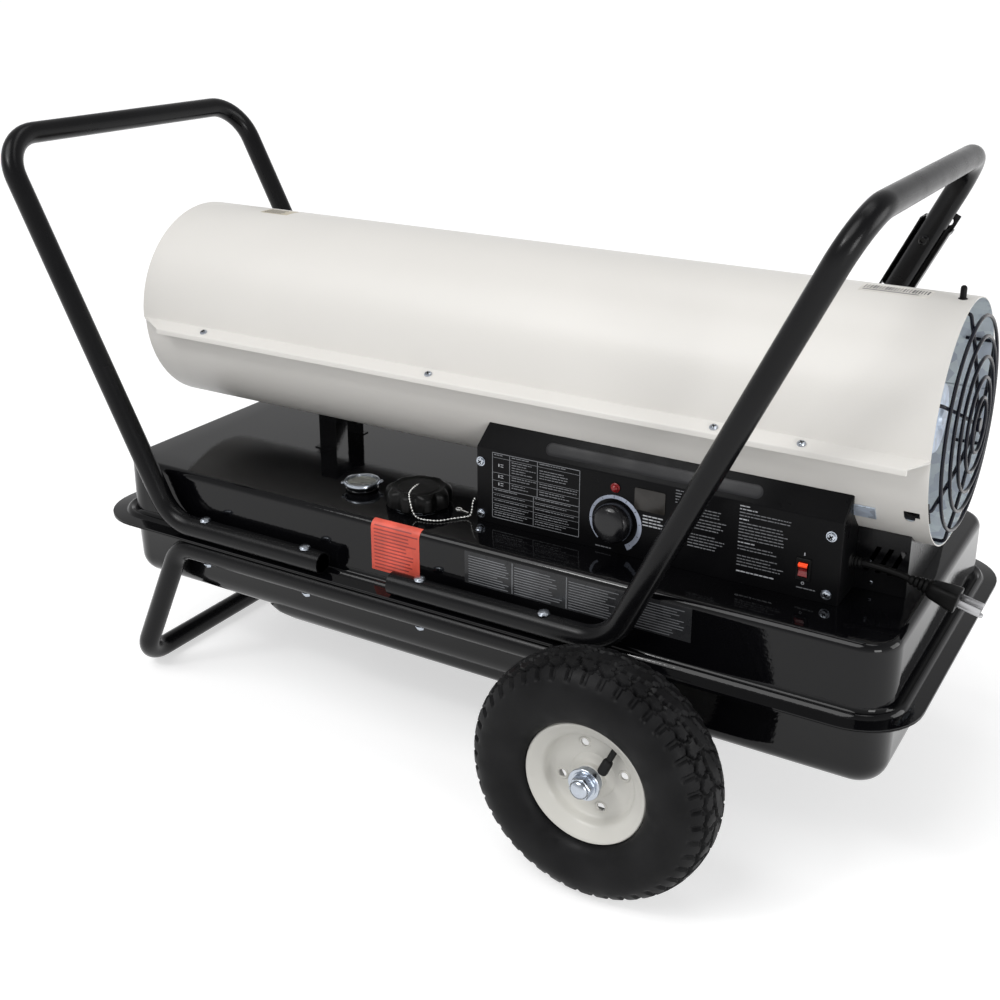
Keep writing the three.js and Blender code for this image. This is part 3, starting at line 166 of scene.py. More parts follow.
def spangled(name, color, roughness, scale, metallic):
    """Zinc coated sheet with its crystals."""
    n = new_finish(name)
    cells = n.node("ShaderNodeTexVoronoi", {"Vector": n.coords(), "Scale": scale}).outputs["Color"]
    tone = n.node("ShaderNodeSeparateColor", {"Color": cells}).outputs[0]
    light = [min(1.0, c * 1.12) for c in color]
    dark = [c * 0.82 for c in color]
    n.set(
        Base_Color=n.mix(n.ramp(tone, [(0.1, 0.0), (0.9, 1.0)]), dark, light),
        Roughness=n.ramp(tone, [(0.0, roughness * 0.8), (1.0, roughness * 1.25)]),
        Metallic=metallic,
    )


def metal(name, color, roughness, stretch=(1, 1, 1), metallic=1.0):
    """Bare or plated metal with a faint grain, drawn out where it is stretched."""
    n = new_finish(name)
    grain = n.noise(140, 4, 0.6, stretch)
    n.set(
        Base_Color=n.mix(n.ramp(grain, [(0.3, 0.0), (0.7, 1.0)]), [c * 0.86 for c in color], color),
        Roughness=n.ramp(grain, [(0.3, roughness * 0.75), (0.7, roughness * 1.3)]),
        Metallic=metallic,
    )
    n.bump(grain, 0.08, 0.0002)


def moulded(name, color, roughness, grain=500, strength=0.03, spread=0.12, specular=0.5, **more):
    """Rubber, plastic or print with a fine grain and a little dust."""
    n = new_finish(name)
    dusty = [min(1.0, c * 1.6 + 0.006) for c in color]
    n.set(
        Base_Color=n.mix(n.ramp(n.noise(30, 5), [(0.45, 0.0), (0.8, 1.0)]), color, dusty),
        Roughness=n.ramp(n.noise(60, 3), [(0.3, roughness - spread), (0.7, roughness + spread)]),
        Specular_IOR_Level=specular,
        **more,
    )
    n.bump(n.noise(grain, 2), strength, 0.0002)


coated("gloss_black", (0.0015, 0.0015, 0.002), (0.003, 0.003, 0.0035), 0.06, 260, 0.28)
coated("satin_black", (0.0025, 0.0025, 0.003), (0.005, 0.005, 0.0055), 0.25, 900, 0.2)
coated("panel_black", (0.002, 0.002, 0.0024), (0.0035, 0.0035, 0.004), 0.34, 1200, 0.09)
# lighter than panel black: painted sheen for the bead pressed in the panel's slope
coated("panel_bead_painted_sheen", (0.012, 0.012, 0.013), (0.018, 0.018, 0.02), 0.4, 1200, 0.2)
coated("wire_black", (0.0015, 0.002, 0.007), (0.003, 0.0035, 0.011), 0.3, 900, 0.25)
coated("shell_white", (0.70, 0.683, 0.65), (0.688, 0.671, 0.638), 0.36, 420, 0.3, spread=0.07)
coated("rim_white", (0.58, 0.57, 0.53), (0.54, 0.53, 0.49), 0.36, 500)
spangled("galvanised", (0.62, 0.70, 0.82), 0.36, 120, 0.55)
# the barrel's bare galvanised inside, lighter and less metallic than the galvanised parts: its own colour with
# painted light for the shaded inside
spangled("inner_wall", (0.80, 0.87, 0.97), 0.4, 90, 0.12)
metal("zinc", (0.50, 0.54, 0.60), 0.2)
metal("bead", (0.85, 0.85, 0.82), 0.25, metallic=0.5)
metal("steel", (0.5, 0.5, 0.51), 0.36, (1, 9, 9))
metal("heat_steel", (0.36, 0.33, 0.31), 0.45, (1, 9, 9))
metal("brass", (0.72, 0.52, 0.24), 0.28)
metal("copper", (0.72, 0.4, 0.26), 0.3)
moulded("tyre", (0.003, 0.003, 0.0034), 0.5, 500, 0.35, specular=0.14)
moulded("rubber", (0.005, 0.005, 0.005), 0.5, 900, 0.25, specular=0.2)
moulded("cord", (0.0015, 0.0015, 0.0015), 0.42, 700, 0.1, specular=0.1)
moulded("plastic", (0.002, 0.002, 0.002), 0.4, 1400, 0.15, specular=0.15)
moulded("plastic_gloss", (0.004, 0.004, 0.005), 0.2, spread=0.05, specular=0.4)
moulded("smoked", (0.016, 0.014, 0.012), 0.2, 300, 0.02, 0.04, 0.4)
moulded("red", (0.18, 0.004, 0.005), 0.2, 300, spread=0.05)
moulded("red_dark", (0.16, 0.005, 0.006), 0.25, 300, spread=0.05, Coat_Weight=0.4)
# a lighter red with a glow: painted highlight for the rocker's upper part
moulded("red_lit", (0.75, 0.05, 0.012), 0.2, 300, spread=0.05, Emission_Color=(1.0, 0.08, 0.02),
        Emission_Strength=0.5)
moulded("print", (0.36, 0.37, 0.39), 0.5, 600, 0.02)
moulded("print_dim", (0.15, 0.155, 0.165), 0.5, 600, 0.02)
moulded("coral", (0.58, 0.09, 0.06), 0.4, strength=0.04, specular=0.3)
moulded("coral_line", (0.24, 0.03, 0.025), 0.45, strength=0.04)
moulded("label_grey", (0.020, 0.0205, 0.022), 0.3, specular=0.3)
moulded("label_scale", (0.27, 0.30, 0.37), 0.45)
moulded("label_tan", (0.42, 0.38, 0.30), 0.5)
moulded("label_olive", (0.16, 0.155, 0.11), 0.5)
moulded("label_pale", (0.62, 0.60, 0.56), 0.5)
moulded("label_ink", (0.07, 0.07, 0.075), 0.5)
moulded("ceramic", (0.78, 0.75, 0.66), 0.25, 300)
moulded("circuit", (0.03, 0.14, 0.06), 0.4, 700, 0.2)

glass = new_finish("glass")
glass.set(Base_Color=(0.95, 0.97, 0.97), Roughness=0.03, Transmission_Weight=0.95, IOR=1.45)
glass.bump(glass.noise(40), 0.01)

# the solids that stay in sight, by finish
for finish, names in {
    "satin_black": "rear_support ignition_transformer",
    "galvanised": "fan_blade panel_tab",
    "zinc": "gauge_stem drain_plug",
    "steel": "motor_shaft thermostat",
    "heat_steel": "burner_head",
    "brass": "nozzle_holder float_arm",
    "copper": "fuel_line",
    "rubber": "cap_gasket air_line",
    "plastic": "flame_sensor",
    "red": "gauge_needle",
    "ceramic": "igniter",
    "circuit": "control_board",
}.items():
    for name in names.split():
        nodes[name].data.materials.clear()
        nodes[name].data.materials.append(mats[finish])

# ---------------------------------------------------------------- outlines


def at(x, y, z):
    """A measured place, moved to the frame's origin."""
    return (x + SHIFT, y, z)


def arc(a, b, r, start, end, steps):
    """Points of an arc about (a, b), between two angles in degrees."""
    angles = [math.radians(start + (end - start) * i / steps) for i in range(steps + 1)]
    return [(a + r * math.cos(t), b + r * math.sin(t)) for t in angles]


def circle(a, b, r, count, start=0):
    """Evenly spaced points round (a, b), from an angle in degrees."""
    return arc(a, b, r, start, start + 360, count)[:-1]


def rounded(points, radii, steps=4):
    """The outline with its corners rounded; a radius of 0 keeps the corner."""
    out = []
    for i, (point, radius) in enumerate(zip(points, radii)):
        here = Vector(point)
        if radius <= 0:
            out.append(tuple(here))
            continue
        before = (Vector(points[i - 1]) - here).normalized()
        after = (Vector(points[(i + 1) % len(points)]) - here).normalized()
        half = before.angle(after) / 2
        reach = radius / math.tan(half)
        a, b = here + before * reach, here + after * reach
        centre = here + (before + after).normalized() * radius / math.sin(half)
        for k in range(steps + 1):
            out.append(tuple((a.lerp(b, k / steps) - centre).normalized() * radius + centre))
    return out


def offset_line(points, distance):
    """The open line moved to its left, with mitred corners."""
    out = []
    for i, point in enumerate(points):
        here = Vector(point)
        into = (here - Vector(points[i - 1])).normalized() if i else None
        leave = (Vector(points[i + 1]) - here).normalized() if i + 1 < len(points) else None
        into, leave = into or leave, leave or into
        side = Vector((-into.y - leave.y, into.x + leave.x)).normalized()
        stretch = distance / max(0.2, side.dot(Vector((-into.y, into.x))))
        out.append(tuple(here + side * stretch))
    return out


def band(line, thickness):
    """The closed outline of a sheet that follows the line, its thickness to the left."""
    return list(line) + offset_line(line, thickness)[::-1]


def bent(corners, bend, steps=14):
    """The path through corners, with round bends."""
    places = [Vector(corner) for corner in corners]
    out = [places[0]]
    for a, b, c in zip(places, places[1:], places[2:]):
        into, leave = (b - a).normalized(), (c - b).normalized()
        turn = into.angle(leave)
        start = b - into * bend * math.tan(turn / 2)
        inward = (leave - into * leave.dot(into)).normalized()
        for k in range(steps + 1):
            t = turn * k / steps
            out.append(start + into * bend * math.sin(t) + inward * bend * (1 - math.cos(t)))
    out.append(places[-1])
    return out


def along_x(line, *places):
    """The outline of (y, z) as a ring at each place along X."""
    return [[(x, y, z) for y, z in line] for x in places]


# ---------------------------------------------------------------- meshes


def made(name, bm, materials, slot=None, stands_for=None, body="machine", angle=30, turn=None):
    """The bmesh, turned by a matrix, as a piece with its materials and body; its slot is not used.

    It is smooth where faces meet below the angle.
    """
    if turn is not None:
        bmesh.ops.transform(bm, matrix=turn, verts=bm.verts)
    bmesh.ops.recalc_face_normals(bm, faces=bm.faces)
    mesh = bpy.data.meshes.new(name)
    bm.to_mesh(mesh)
    bm.free()
    mesh.transform(Matrix.Scale(MM, 4))
    mesh.shade_smooth()
    mesh.set_sharp_from_angle(angle=math.radians(angle))
    for material in materials.split():
        mesh.materials.append(mats[material])
    piece = linked(name, mesh)
    if body:
        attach(piece, body)
    if stands_for:
        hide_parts(stands_for)
    return piece


def skin(bm, rings, closed_ring=True, closed_loop=False, caps=False, material=0):
    """Quads between rings of points."""
    rows = [[bm.verts.new(point) for point in ring] for ring in rings]
    for low, high in list(zip(rows, rows[1:])) + ([(rows[-1], rows[0])] if closed_loop else []):
        count = len(low)
        for k in range(count if closed_ring else count - 1):
            n = (k + 1) % count
            bm.faces.new((low[k], low[n], high[n], high[k])).material_index = material
    for row in (rows[0], rows[-1]) if caps else ():
        bm.faces.new(row).material_index = material
    return rows


def solid(rings):
    """A new bmesh of rings of points with both ends capped."""
    part = bmesh.new()
    skin(part, rings, caps=True)
    return part


def turned(bm, profile, place, axis, segments=48, material=0, start=0.0):
    """A closed profile of (radius, distance along the axis) turned about it; radius 0 points meet."""
    axis, place = Vector(axis).normalized(), Vector(place)
    side = axis.orthogonal().normalized() if abs(axis.z) < 0.9 else Vector(X_AXIS)
    up = axis.cross(side)
    angles = [start + 2 * math.pi * k / segments for k in range(segments)]
    rings = [[place + axis * along + (side * math.cos(t) + up * math.sin(t)) * max(r, 1e-4) for t in angles]
             for r, along in profile]
    skin(bm, rings, closed_loop=profile[0][0] > 0 or profile[-1][0] > 0, material=material)
    bmesh.ops.remove_doubles(bm, verts=bm.verts, dist=1e-3)


def rod(r, start, end, place, axis, segments=28):
    """A plain cylinder between two distances along an axis through a place."""
    part = bmesh.new()
    turned(part, [(0, start), (r, start), (r, end), (0, end)], place, axis, segments)
    return part


def turned_piece(name, profile, place, axis, segments, materials, slot=None, stands_for=None, **more):
    bm = bmesh.new()
    turned(bm, profile, place, axis, segments)
    return made(name, bm, materials, slot, stands_for, **more)


def pipe(bm, path, r, segments=20, closed=False, caps=True):
    """A round rod along a path of points."""
    points = [Vector(p) for p in path]
    count = len(points)
    rings = []
    normal = None
    for i, point in enumerate(points):
        before = points[i - 1] if i or closed else points[i]
        after = points[(i + 1) % count] if i < count - 1 or closed else points[i]
        tangent = (after - before).normalized()
        normal = normal or tangent.orthogonal().normalized()
        normal = (normal - tangent * normal.dot(tangent)).normalized()
        side = tangent.cross(normal)
        angles = [2 * math.pi * k / segments for k in range(segments)]
        rings.append([point + normal * r * math.cos(t) + side * r * math.sin(t) for t in angles])
    skin(bm, rings, closed_loop=closed, caps=caps and not closed)


def join(bm, part, turn=None, material=None):
    """Adds another bmesh, turned by a matrix."""
    if turn is not None:
        bmesh.ops.transform(part, matrix=turn, verts=part.verts)
    if material is not None:
        for face in part.faces:
            face.material_index = material
    mesh = bpy.data.meshes.new("part")
    part.to_mesh(mesh)
    part.free()
    bm.from_mesh(mesh)
    bpy.data.meshes.remove(mesh)


def block(bm, low, high, edge=0.0, turn=None, material=0, segments=2):
    """A box between two corners, its edges rounded."""
    part = bmesh.new()
    bmesh.ops.create_cube(part, size=1)
    for v in part.verts:
        v.co = Vector((v.co[k] + 0.5) * (high[k] - low[k]) + low[k] for k in range(3))
    if edge:
        bmesh.ops.bevel(part, geom=part.edges[:], offset=edge, segments=segments, profile=0.5, affect="EDGES")
    join(bm, part, turn, material)


def plate(sections, steps, x=0.0, y=0.0):
    """One solid through rounded rectangles about (x, y): (half width, half height, corner radius, z)."""
    rings = []
    for w, h, r, z in sections:
        corners = rounded([(-w, -h), (w, -h), (w, h), (-w, h)], [r] * 4, steps)
        rings.append([(x + a, y + b, z) for a, b in corners])
    return solid(rings)


def combined(base, cuts, added=()):
    """The base mesh with the added ones joined to it and then the cuts taken away, as a new bmesh."""
    steps = [("UNION", tool) for tool in added] + [("DIFFERENCE", tool) for tool in cuts]
    items = []
    for part in [base] + [tool for _, tool in steps]:
        bmesh.ops.recalc_face_normals(part, faces=part.faces)
        mesh = bpy.data.meshes.new("solid")
        part.to_mesh(mesh)
        part.free()
        items.append(linked("solid", mesh))
    for (operation, _), tool in zip(steps, items[1:]):
        modifier = items[0].modifiers.new("cut", "BOOLEAN")
        modifier.operation = operation
        modifier.solver = "EXACT"
        modifier.object = tool
    bpy.context.view_layer.update()
    result = bmesh.new()
    result.from_object(items[0], bpy.context.evaluated_depsgraph_get())
    for item in items:
        bpy.data.objects.remove(item)
    return result


def facing(place, normal):
    """Matrix that takes x to the right, y up and z out of a face."""
    z = Vector(normal).normalized()
    x = Vector(Z_AXIS).cross(z).normalized()
    turn = Matrix((x, z.cross(x), z)).transposed().to_4x4()
    turn.translation = Vector(place)
    return turn


def spun(place, degrees, axis):
    """Matrix that turns about the X, Y or Z axis, then moves to a place."""
    return Matrix.Translation(place) @ Matrix.Rotation(math.radians(degrees), 4, axis)


def screw(bm, place, normal, r, head, washer=0.0):
    """A pan head screw whose cross recess is two dark bars set on its head as painted shade, on a washer of a
    radius or on none.
    """
    n = Vector(normal).normalized()
    lift = 0.9 if washer else 0
    if washer:
        turned(bm, [(0, 0), (washer, 0), (washer, lift), (0, lift)], place, n, 28)
    base = Vector(place) + n * lift
    profile = [(0, 0), (r, 0), (r, head * 0.45), (r * 0.86, head * 0.82), (r * 0.55, head), (0, head)]
    turned(bm, profile, base, n, 24)
    # the cross: two solid bars in the second finish, a little proud of the head's top, dark as painted shade
    # for the recess
    for k in range(2):
        turn = facing(base + n * head * 0.93, n) @ Matrix.Rotation(0.6 + math.pi / 2 * k, 4, "Z")
        block(bm, (-r * 0.6, -0.7, -0.3), (r * 0.6, 0.7, 0.24), 0, turn, 1)


# ---------------------------------------------------------------- cord and plug

CORD_R = 3.6
CORD_X, CORD_Y, CORD_Z = 476.3, -91, 309.5
CORD_REACH, CORD_SAG = 45.7, 4.9
CORD_ROUTE = [at(CORD_X + CORD_REACH * s, CORD_Y - s * s, CORD_Z - CORD_SAG * s * s)
              for s in (i / 15 for i in range(16))]
BLADE_Y = 6.35

bm = bmesh.new()
pipe(bm, CORD_ROUTE, CORD_R, 24)
cord = made("lead", bm, "cord", "rubber", "power_cord", angle=35)


def plug_mesh():
    """Ribbed relief, tapered grip, two flat blades and a ground pin, along its own axis."""
    bm = bmesh.new()
    ribs = []
    for i in range(4):
        z, r = 0.8 + i * 4.6, 4.9 + i * 0.85
        ribs += [(r - 0.9, z), (r, z + 0.5), (r + 0.1, z + 3.2), (r - 0.7, z + 3.7)]
    turned(bm, [(0, 0), (4.2, 0), *ribs, (7.2, 19.5), (0, 19.5)], (0, 0, 0), Z_AXIS, 36)
    grip = plate(((6.6, 6.2, 4, 18.6), (7.6, 7.2, 5, 19.4), (9.2, 8.2, 5.5, 23), (10.4, 8.8, 5.5, 29),
                  (10.9, 9.0, 5, 34), (11.9, 9.6, 5, 39), (12.5, 10, 5, 45), (12.5, 10, 5, 47.2),
                  (11.9, 9.4, 4.6, 48)), 5)
    join(bm, grip, None, 0)
    for x in (-BLADE_Y, BLADE_Y):
        block(bm, (x - 0.75, -1.8, 47), (x + 0.75, 4.5, 70), 0.35, None, 1)
    turned(bm, [(0, 47), (2.4, 47), (2.4, 71), (1.7, 72.6), (0, 73)], (0, -5, 0), Z_AXIS, 20, 1)
    return bm


cord_end = Vector(CORD_ROUTE[-1])
heading = (cord_end - Vector(CORD_ROUTE[-2])).normalized()
plug_turn = Vector(Z_AXIS).rotation_difference(heading) @ Quaternion(Z_AXIS, math.pi / 2)
plug_place = Matrix.Translation(cord_end + heading * 0.6) @ plug_turn.to_matrix().to_4x4()
plug = made("plug", plug_mesh(), "cord steel", "rubber", "power_plug", angle=35, turn=plug_place)

turned_piece(
    "gland",
    [(0, 455), (8.8, 455), (8.8, 461.5), (6.8, 461.5), (6.8, 463.3), (9.3, 463.3), (9.3, 465.2), (8.6, 466),
     (6.2, 467), (6.0, 468), (5.2, 468.6), (5.2, 469.4), (5.7, 470), (5.5, 471.2), (4.8, 471.8), (4.8, 472.6),
     (5.2, 473.2), (5.0, 474.4), (4.4, 475), (4.3, 476), (0, 476)],
    at(0, CORD_Y, CORD_Z), X_AXIS, 36, "cord", "rubber", "cord_gland", angle=35,
)

# ---------------------------------------------------------------- fuel tank

# "left" and "right" say how much more or less than the sides an end wall leans in
TANK = {"x0": -450 + SHIFT, "x1": 562.8 + SHIFT, "half_y": 218.5, "corner": 66, "left": 1, "right": 0.84}
FLANGE_Z, TOP_Z, BOTTOM_Z, FOLD_R = 204.5, 275.0, 121.0, 9.0
TANK_SHEET = 1.5
CAP_X, CAP_Y, CAP_Z = -20, -122, 277.5
WHEEL_X, WHEEL_Y, WHEEL_Z = 294.4 + SHIFT, 291.0, 127.0

# both pressings' outsides, as (inset from the flange's edge, z)
FLANGE_BEAD = [(22 + 5.2 * t, FLANGE_Z + 4.4 * math.cos(t * math.pi / 2) ** 0.8)
               for t in (-0.98, -0.8, -0.5, -0.2, 0.15, 0.5, 0.8)]
UPPER_LINE = (
    [(0.3, FLANGE_Z - 0.15), (0.9, FLANGE_Z), (15.5, FLANGE_Z)] + FLANGE_BEAD
    + [(27.2, FLANGE_Z + 1.2), (28.8, FLANGE_Z + 2.6), (30, FLANGE_Z + 6)]
    + arc(30 + FOLD_R, TOP_Z - FOLD_R, FOLD_R, 180, 90, 9) + [(70, TOP_Z), (84, TOP_Z)]
)
LOWER_LINE = (
    [(0.4, 201.4), (1.2, 201.2), (22, 201.2), (26, 200.8), (28.6, 199.2), (30, 196)]
    + arc(57, BOTTOM_Z + 25, 25, 180, 270, 9) + [(70, BOTTOM_Z), (87, BOTTOM_Z)]
)


def loft(profile, plan, steps=10):
    """Rounded rectangles in plan drawn in by (inset, z), as one closed skin."""
    rings = []
    for inset, z in profile:
        r = max(plan["corner"] - inset, 8)
        x0, x1 = plan["x0"] + inset * plan["left"] + r, plan["x1"] - inset * plan["right"] - r
        y = plan["half_y"] - inset - r
        corners = ((x1, y, 0), (x0, y, 90), (x0, -y, 180), (x1, -y, 270))
        rings.append([(a, b, z) for cx, cy, start in corners
                      for a, b in arc(cx, cy, r, start, start + 90, steps)])
    return solid(rings)


def sump(grow):
    """The deeper part of the bottom, with a long ramp in front."""
    low = 112 + grow
    line = [(0, 160), (0, low + 12), (1.2, low + 7), (3.6, low + 3.6), (7, low + 1.2), (12, low)]
    plan = {"x0": -215 + SHIFT, "x1": 246 + SHIFT, "half_y": 181 - grow, "corner": 30, "left": 7, "right": 1}
    return loft(line, plan, 5)


def groove(grow):
    """The room for the axle across the bottom."""
    half, top, fillet = 26 + grow, 140 + grow, 8
    outline = [(-half, 80), (half, 80), (half, top - fillet), (half - fillet, top), (fillet - half, top),
               (-half, top - fillet)]
    return solid([[(WHEEL_X + a, y, z) for a, z in outline] for y in (-240, 240)])


inner = offset_line(UPPER_LINE, -TANK_SHEET)
inner[0] = (0.3, 203.1)
# holes for the neck, the gauge and the fuel line
holes = [rod(r, 260, 290, at(x, y, 0), Z_AXIS, 40) for r, x, y in
         ((24.3, CAP_X, CAP_Y), (7.4, -101, -120), (3.4, 215, 7))]
bm = combined(loft(inner[::-1] + UPPER_LINE, TANK), holes)
made("tank_upper", bm, "gloss_black", stands_for="tank_upper_shell")

outside = combined(loft([(0.4, 202.5)] + LOWER_LINE, TANK), [groove(0)], [sump(0)])
inner = [(28.5, 206), (30.5, 200)] + offset_line(LOWER_LINE[5:], TANK_SHEET)
inside = combined(loft(inner, TANK), [groove(TANK_SHEET)], [sump(TANK_SHEET)])
bm = combined(outside, [inside, rod(9.3, 100, 125, at(120, 0, 0), Z_AXIS, 40)])
made("tank_lower", bm, "gloss_black", stands_for="tank_lower_shell")

# ---------------------------------------------------------------- handles and frame

TUBE_Y, TUBE_R, TUBE_WALL = 207.5, 12.7, 1.8
HANDLE_Z, RAIL_Z = 217.5, 188.2
REAR_FOOT, REAR_TOP = (264.3, HANDLE_Z), (482.3, 668)


def tube_loop(name, side, stands_for, bend=52):
    """An open ended tube: the near side's corners of (x, z), then the far side's in reverse."""
    corners = [at(x, -TUBE_Y, z) for x, z in side] + [at(x, TUBE_Y, z) for x, z in side[::-1]]
    bm = bmesh.new()
    path = bent(corners, bend)
    pipe(bm, path, TUBE_R, 28, caps=False)
    pipe(bm, path, TUBE_R - TUBE_WALL, 20, caps=False)
    edges = [e for e in bm.edges if e.is_boundary]
    bmesh.ops.bridge_loops(bm, edges=[e for e in edges if e.verts[0].co.y < 0])
    bmesh.ops.bridge_loops(bm, edges=[e for e in edges if e.is_valid and e.verts[0].co.y > 0])
    made(name, bm, "satin_black", stands_for=stands_for, angle=40)


tube_loop("front_handle", [(-93.4, HANDLE_Z), (-320.8, HANDLE_Z), (-550.1, 657)], "handle_front")
tube_loop("rear_handle", [(1.1, HANDLE_Z), REAR_FOOT, REAR_TOP], "handle_rear")
tail, tail_length = math.radians(42), 112
bend_x = 294.4 - (RAIL_Z - WHEEL_Z) / math.tan(tail)
tail_end = (bend_x + tail_length * math.cos(tail), RAIL_Z - tail_length * math.sin(tail))
tube_loop("frame_loop", [tail_end, (bend_x, RAIL_Z), (-311.7, RAIL_Z), (-392, TUBE_R)], "support_frame", 38)


def cord_hook():
    """A plate with two side flanges and fingers and one ear, on the back of the far rear leg."""
    leg = Vector((REAR_TOP[0] - REAR_FOOT[0], 0, REAR_TOP[1] - REAR_FOOT[1]))
    spot = Vector(at(REAR_FOOT[0], TUBE_Y + TUBE_R, HANDLE_Z)) + 0.76 * leg
    turn = spun(spot, math.degrees(math.atan2(leg.x, leg.z)), "Y")
    bm = bmesh.new()
    block(bm, (-17, 0.1, -62), (17, 2.1, 28), 0.5, turn)
    ear = bmesh.new()
    block(ear, (2, 0.2, 24), (17.8, 2.2, 47), 0.9)
    join(bm, combined(ear, [rod(4.8, -9, 9, (9, 0, 36), Y_AXIS)]), turn)
    for x in (-17, 17):
        block(bm, (x - 1, -14, -62), (x + 1, 2.1, 28), 0.6, turn)
        block(bm, (x - 1, 1.6, 22), (x + 1, 13, 28), 0.6, turn)
    made("cord_hook_sheet", bm, "satin_black", stands_for="cord_hook")


cord_hook()
turned_piece(
    "hook_screw",
    [(0, -195.8), (6.4, -195.8), (6.4, -194), (4.6, -193.6), (4.6, -190.8), (3.8, -190), (2.4, -190),
     (2.4, -192.4), (0, -192.4)],
    at(434.6, 0, 569.5), TO_NEAR, 28, "gloss_black", "satin_black",
)

# ---------------------------------------------------------------- barrel

OUTLET_X, INTAKE_X = -426.5 + SHIFT, 536 + SHIFT
BARREL_R, BARREL_Z, SHEET = 122.5, 437.0, 1.2
LIP, LIP_SLOPE = 17, 6 / 17
SEAM_GAP = 2.7 * math.hypot(1, LIP_SLOPE)


def barrel_shell(line, front, back, inset=0.0):
    """A bent sheet along the barrel, painted outside, bare inside, its lips' ends cut back at a slant."""
    bm = bmesh.new()
    stations = (0, 0.004, 0.25, 0.5, 0.75, 0.996, 1)
    faces = []
    for side, points in enumerate((line, offset_line(line, SHEET))):
        rings = []
        for y, z in points:
            out = max(0.0, abs(y) - BARREL_R) / LIP
            x0, x1 = OUTLET_X + front * out + inset, INTAKE_X - back * out
            rings.append([(x0 + (x1 - x0) * t, y, z) for t in stations])
        faces.append(skin(bm, rings, closed_ring=False, material=side))
    out, inn = faces
    for a, b, c, d in zip(out, out[1:], inn, inn[1:]):
        for k in (0, -1):
            bm.faces.new((a[k], b[k], d[k], c[k]))
    for a, b in ((out[0], inn[0]), (out[-1], inn[-1])):
        for k in range(len(stations) - 1):
            bm.faces.new((a[k], a[k + 1], b[k + 1], b[k]))
    return bm


# one lip of the upper shell, as (out from the middle, z over the barrel's axis)
LIP_LINE = [(139.5, -12), (139.5, -7.2), (139.1, -6.3), (138.2, -5.6), (124.2, -0.6), (BARREL_R + 0.35, 0.5),
            (BARREL_R, 2)]
upper_line = (
    [(y, BARREL_Z + z) for y, z in LIP_LINE] + arc(0, BARREL_Z, BARREL_R, 2, 178, 96)
    + [(-y, BARREL_Z + z) for y, z in LIP_LINE[::-1]]
)
bm = barrel_shell(upper_line, 38, 17)
made("barrel_upper", bm, "shell_white inner_wall", stands_for="barrel_upper_shell", angle=32)

# dark clip behind the keyhole near the intake
bm = bmesh.new()
block(bm, (506.5, -119, -14), (536.5, -117.4, 14), 0.5, spun(at(0, 0, BARREL_Z), 29.7, "X"))
made("keyhole_clip", bm, "satin_black")

lip_end = (BARREL_R + 15, BARREL_Z - SEAM_GAP - 15 * LIP_SLOPE)
start = math.degrees(math.asin(SEAM_GAP / BARREL_R))
lower_line = (
    [(-lip_end[0], lip_end[1])] + arc(0, BARREL_Z, BARREL_R, 180 + start, 360 - start, 96) + [lip_end]
)
slot_hole = bmesh.new()
block(slot_hole, at(513.2, -125, 371.4), at(528.4, -80, 378.6))
round_hole = rod(5.4, 80, 125, at(518.6, 0, 371), TO_NEAR)
bm = combined(barrel_shell(lower_line, 42, 21, 3), [round_hole, slot_hole])
made("barrel_lower", bm, "shell_white inner_wall", stands_for="barrel_lower_shell", angle=32)

bm = bmesh.new()
for side in (-1, 1):
    for x in (-320.7, 1.7, 331.9, 419.5):
        screw(bm, at(x, side * 131.2, BARREL_Z - LIP_SLOPE * 8.7 + 0.1), (0, side * 6, 17), 4.4, 2.4)
# the satin black is the painted shade in the screws' cross recesses
made("lip_screws", bm, "zinc satin_black")

# ---------------------------------------------------------------- wheels

PITCHES, STEPS = 22, 14
PLAIN = 99
HOLE_R, HOLE_CIRCLE, HOLE_TURN = 4.0, 34, 106


def tread_cut(turn, across):
    """Depth of the tread pattern, at a turn counted in pitches and a distance from the middle."""
    out = abs(across)
    side = 0.5 if across > 0 else 0.0
    wave = abs((turn % 1) * 2 - 1) * 2 - 1
    double = abs((turn * 2 + side) % 1 * 2 - 1) * 2 - 1
    if abs(out - 8.5 - 2.4 * wave * (1 if side else -1)) < 1.5:
        return 3.0
    if abs(out - 22.5 - 1.8 * double) < 1.5:
        return 3.2
    if 9 < out < 24 and (turn * 2 + side + out * 0.03) % 1 < 0.17:
        return 2.6
    if out < 8 and (turn + 0.25 + across * 0.02) % 1 < 0.12:
        return 2.2
    if 24 < out < 41 and (turn * 2 + 0.5 + side - out * 0.008) % 1 < 0.3:
        return 3.0 * min(1.0, (41 - out) / 6)
    return 0.0


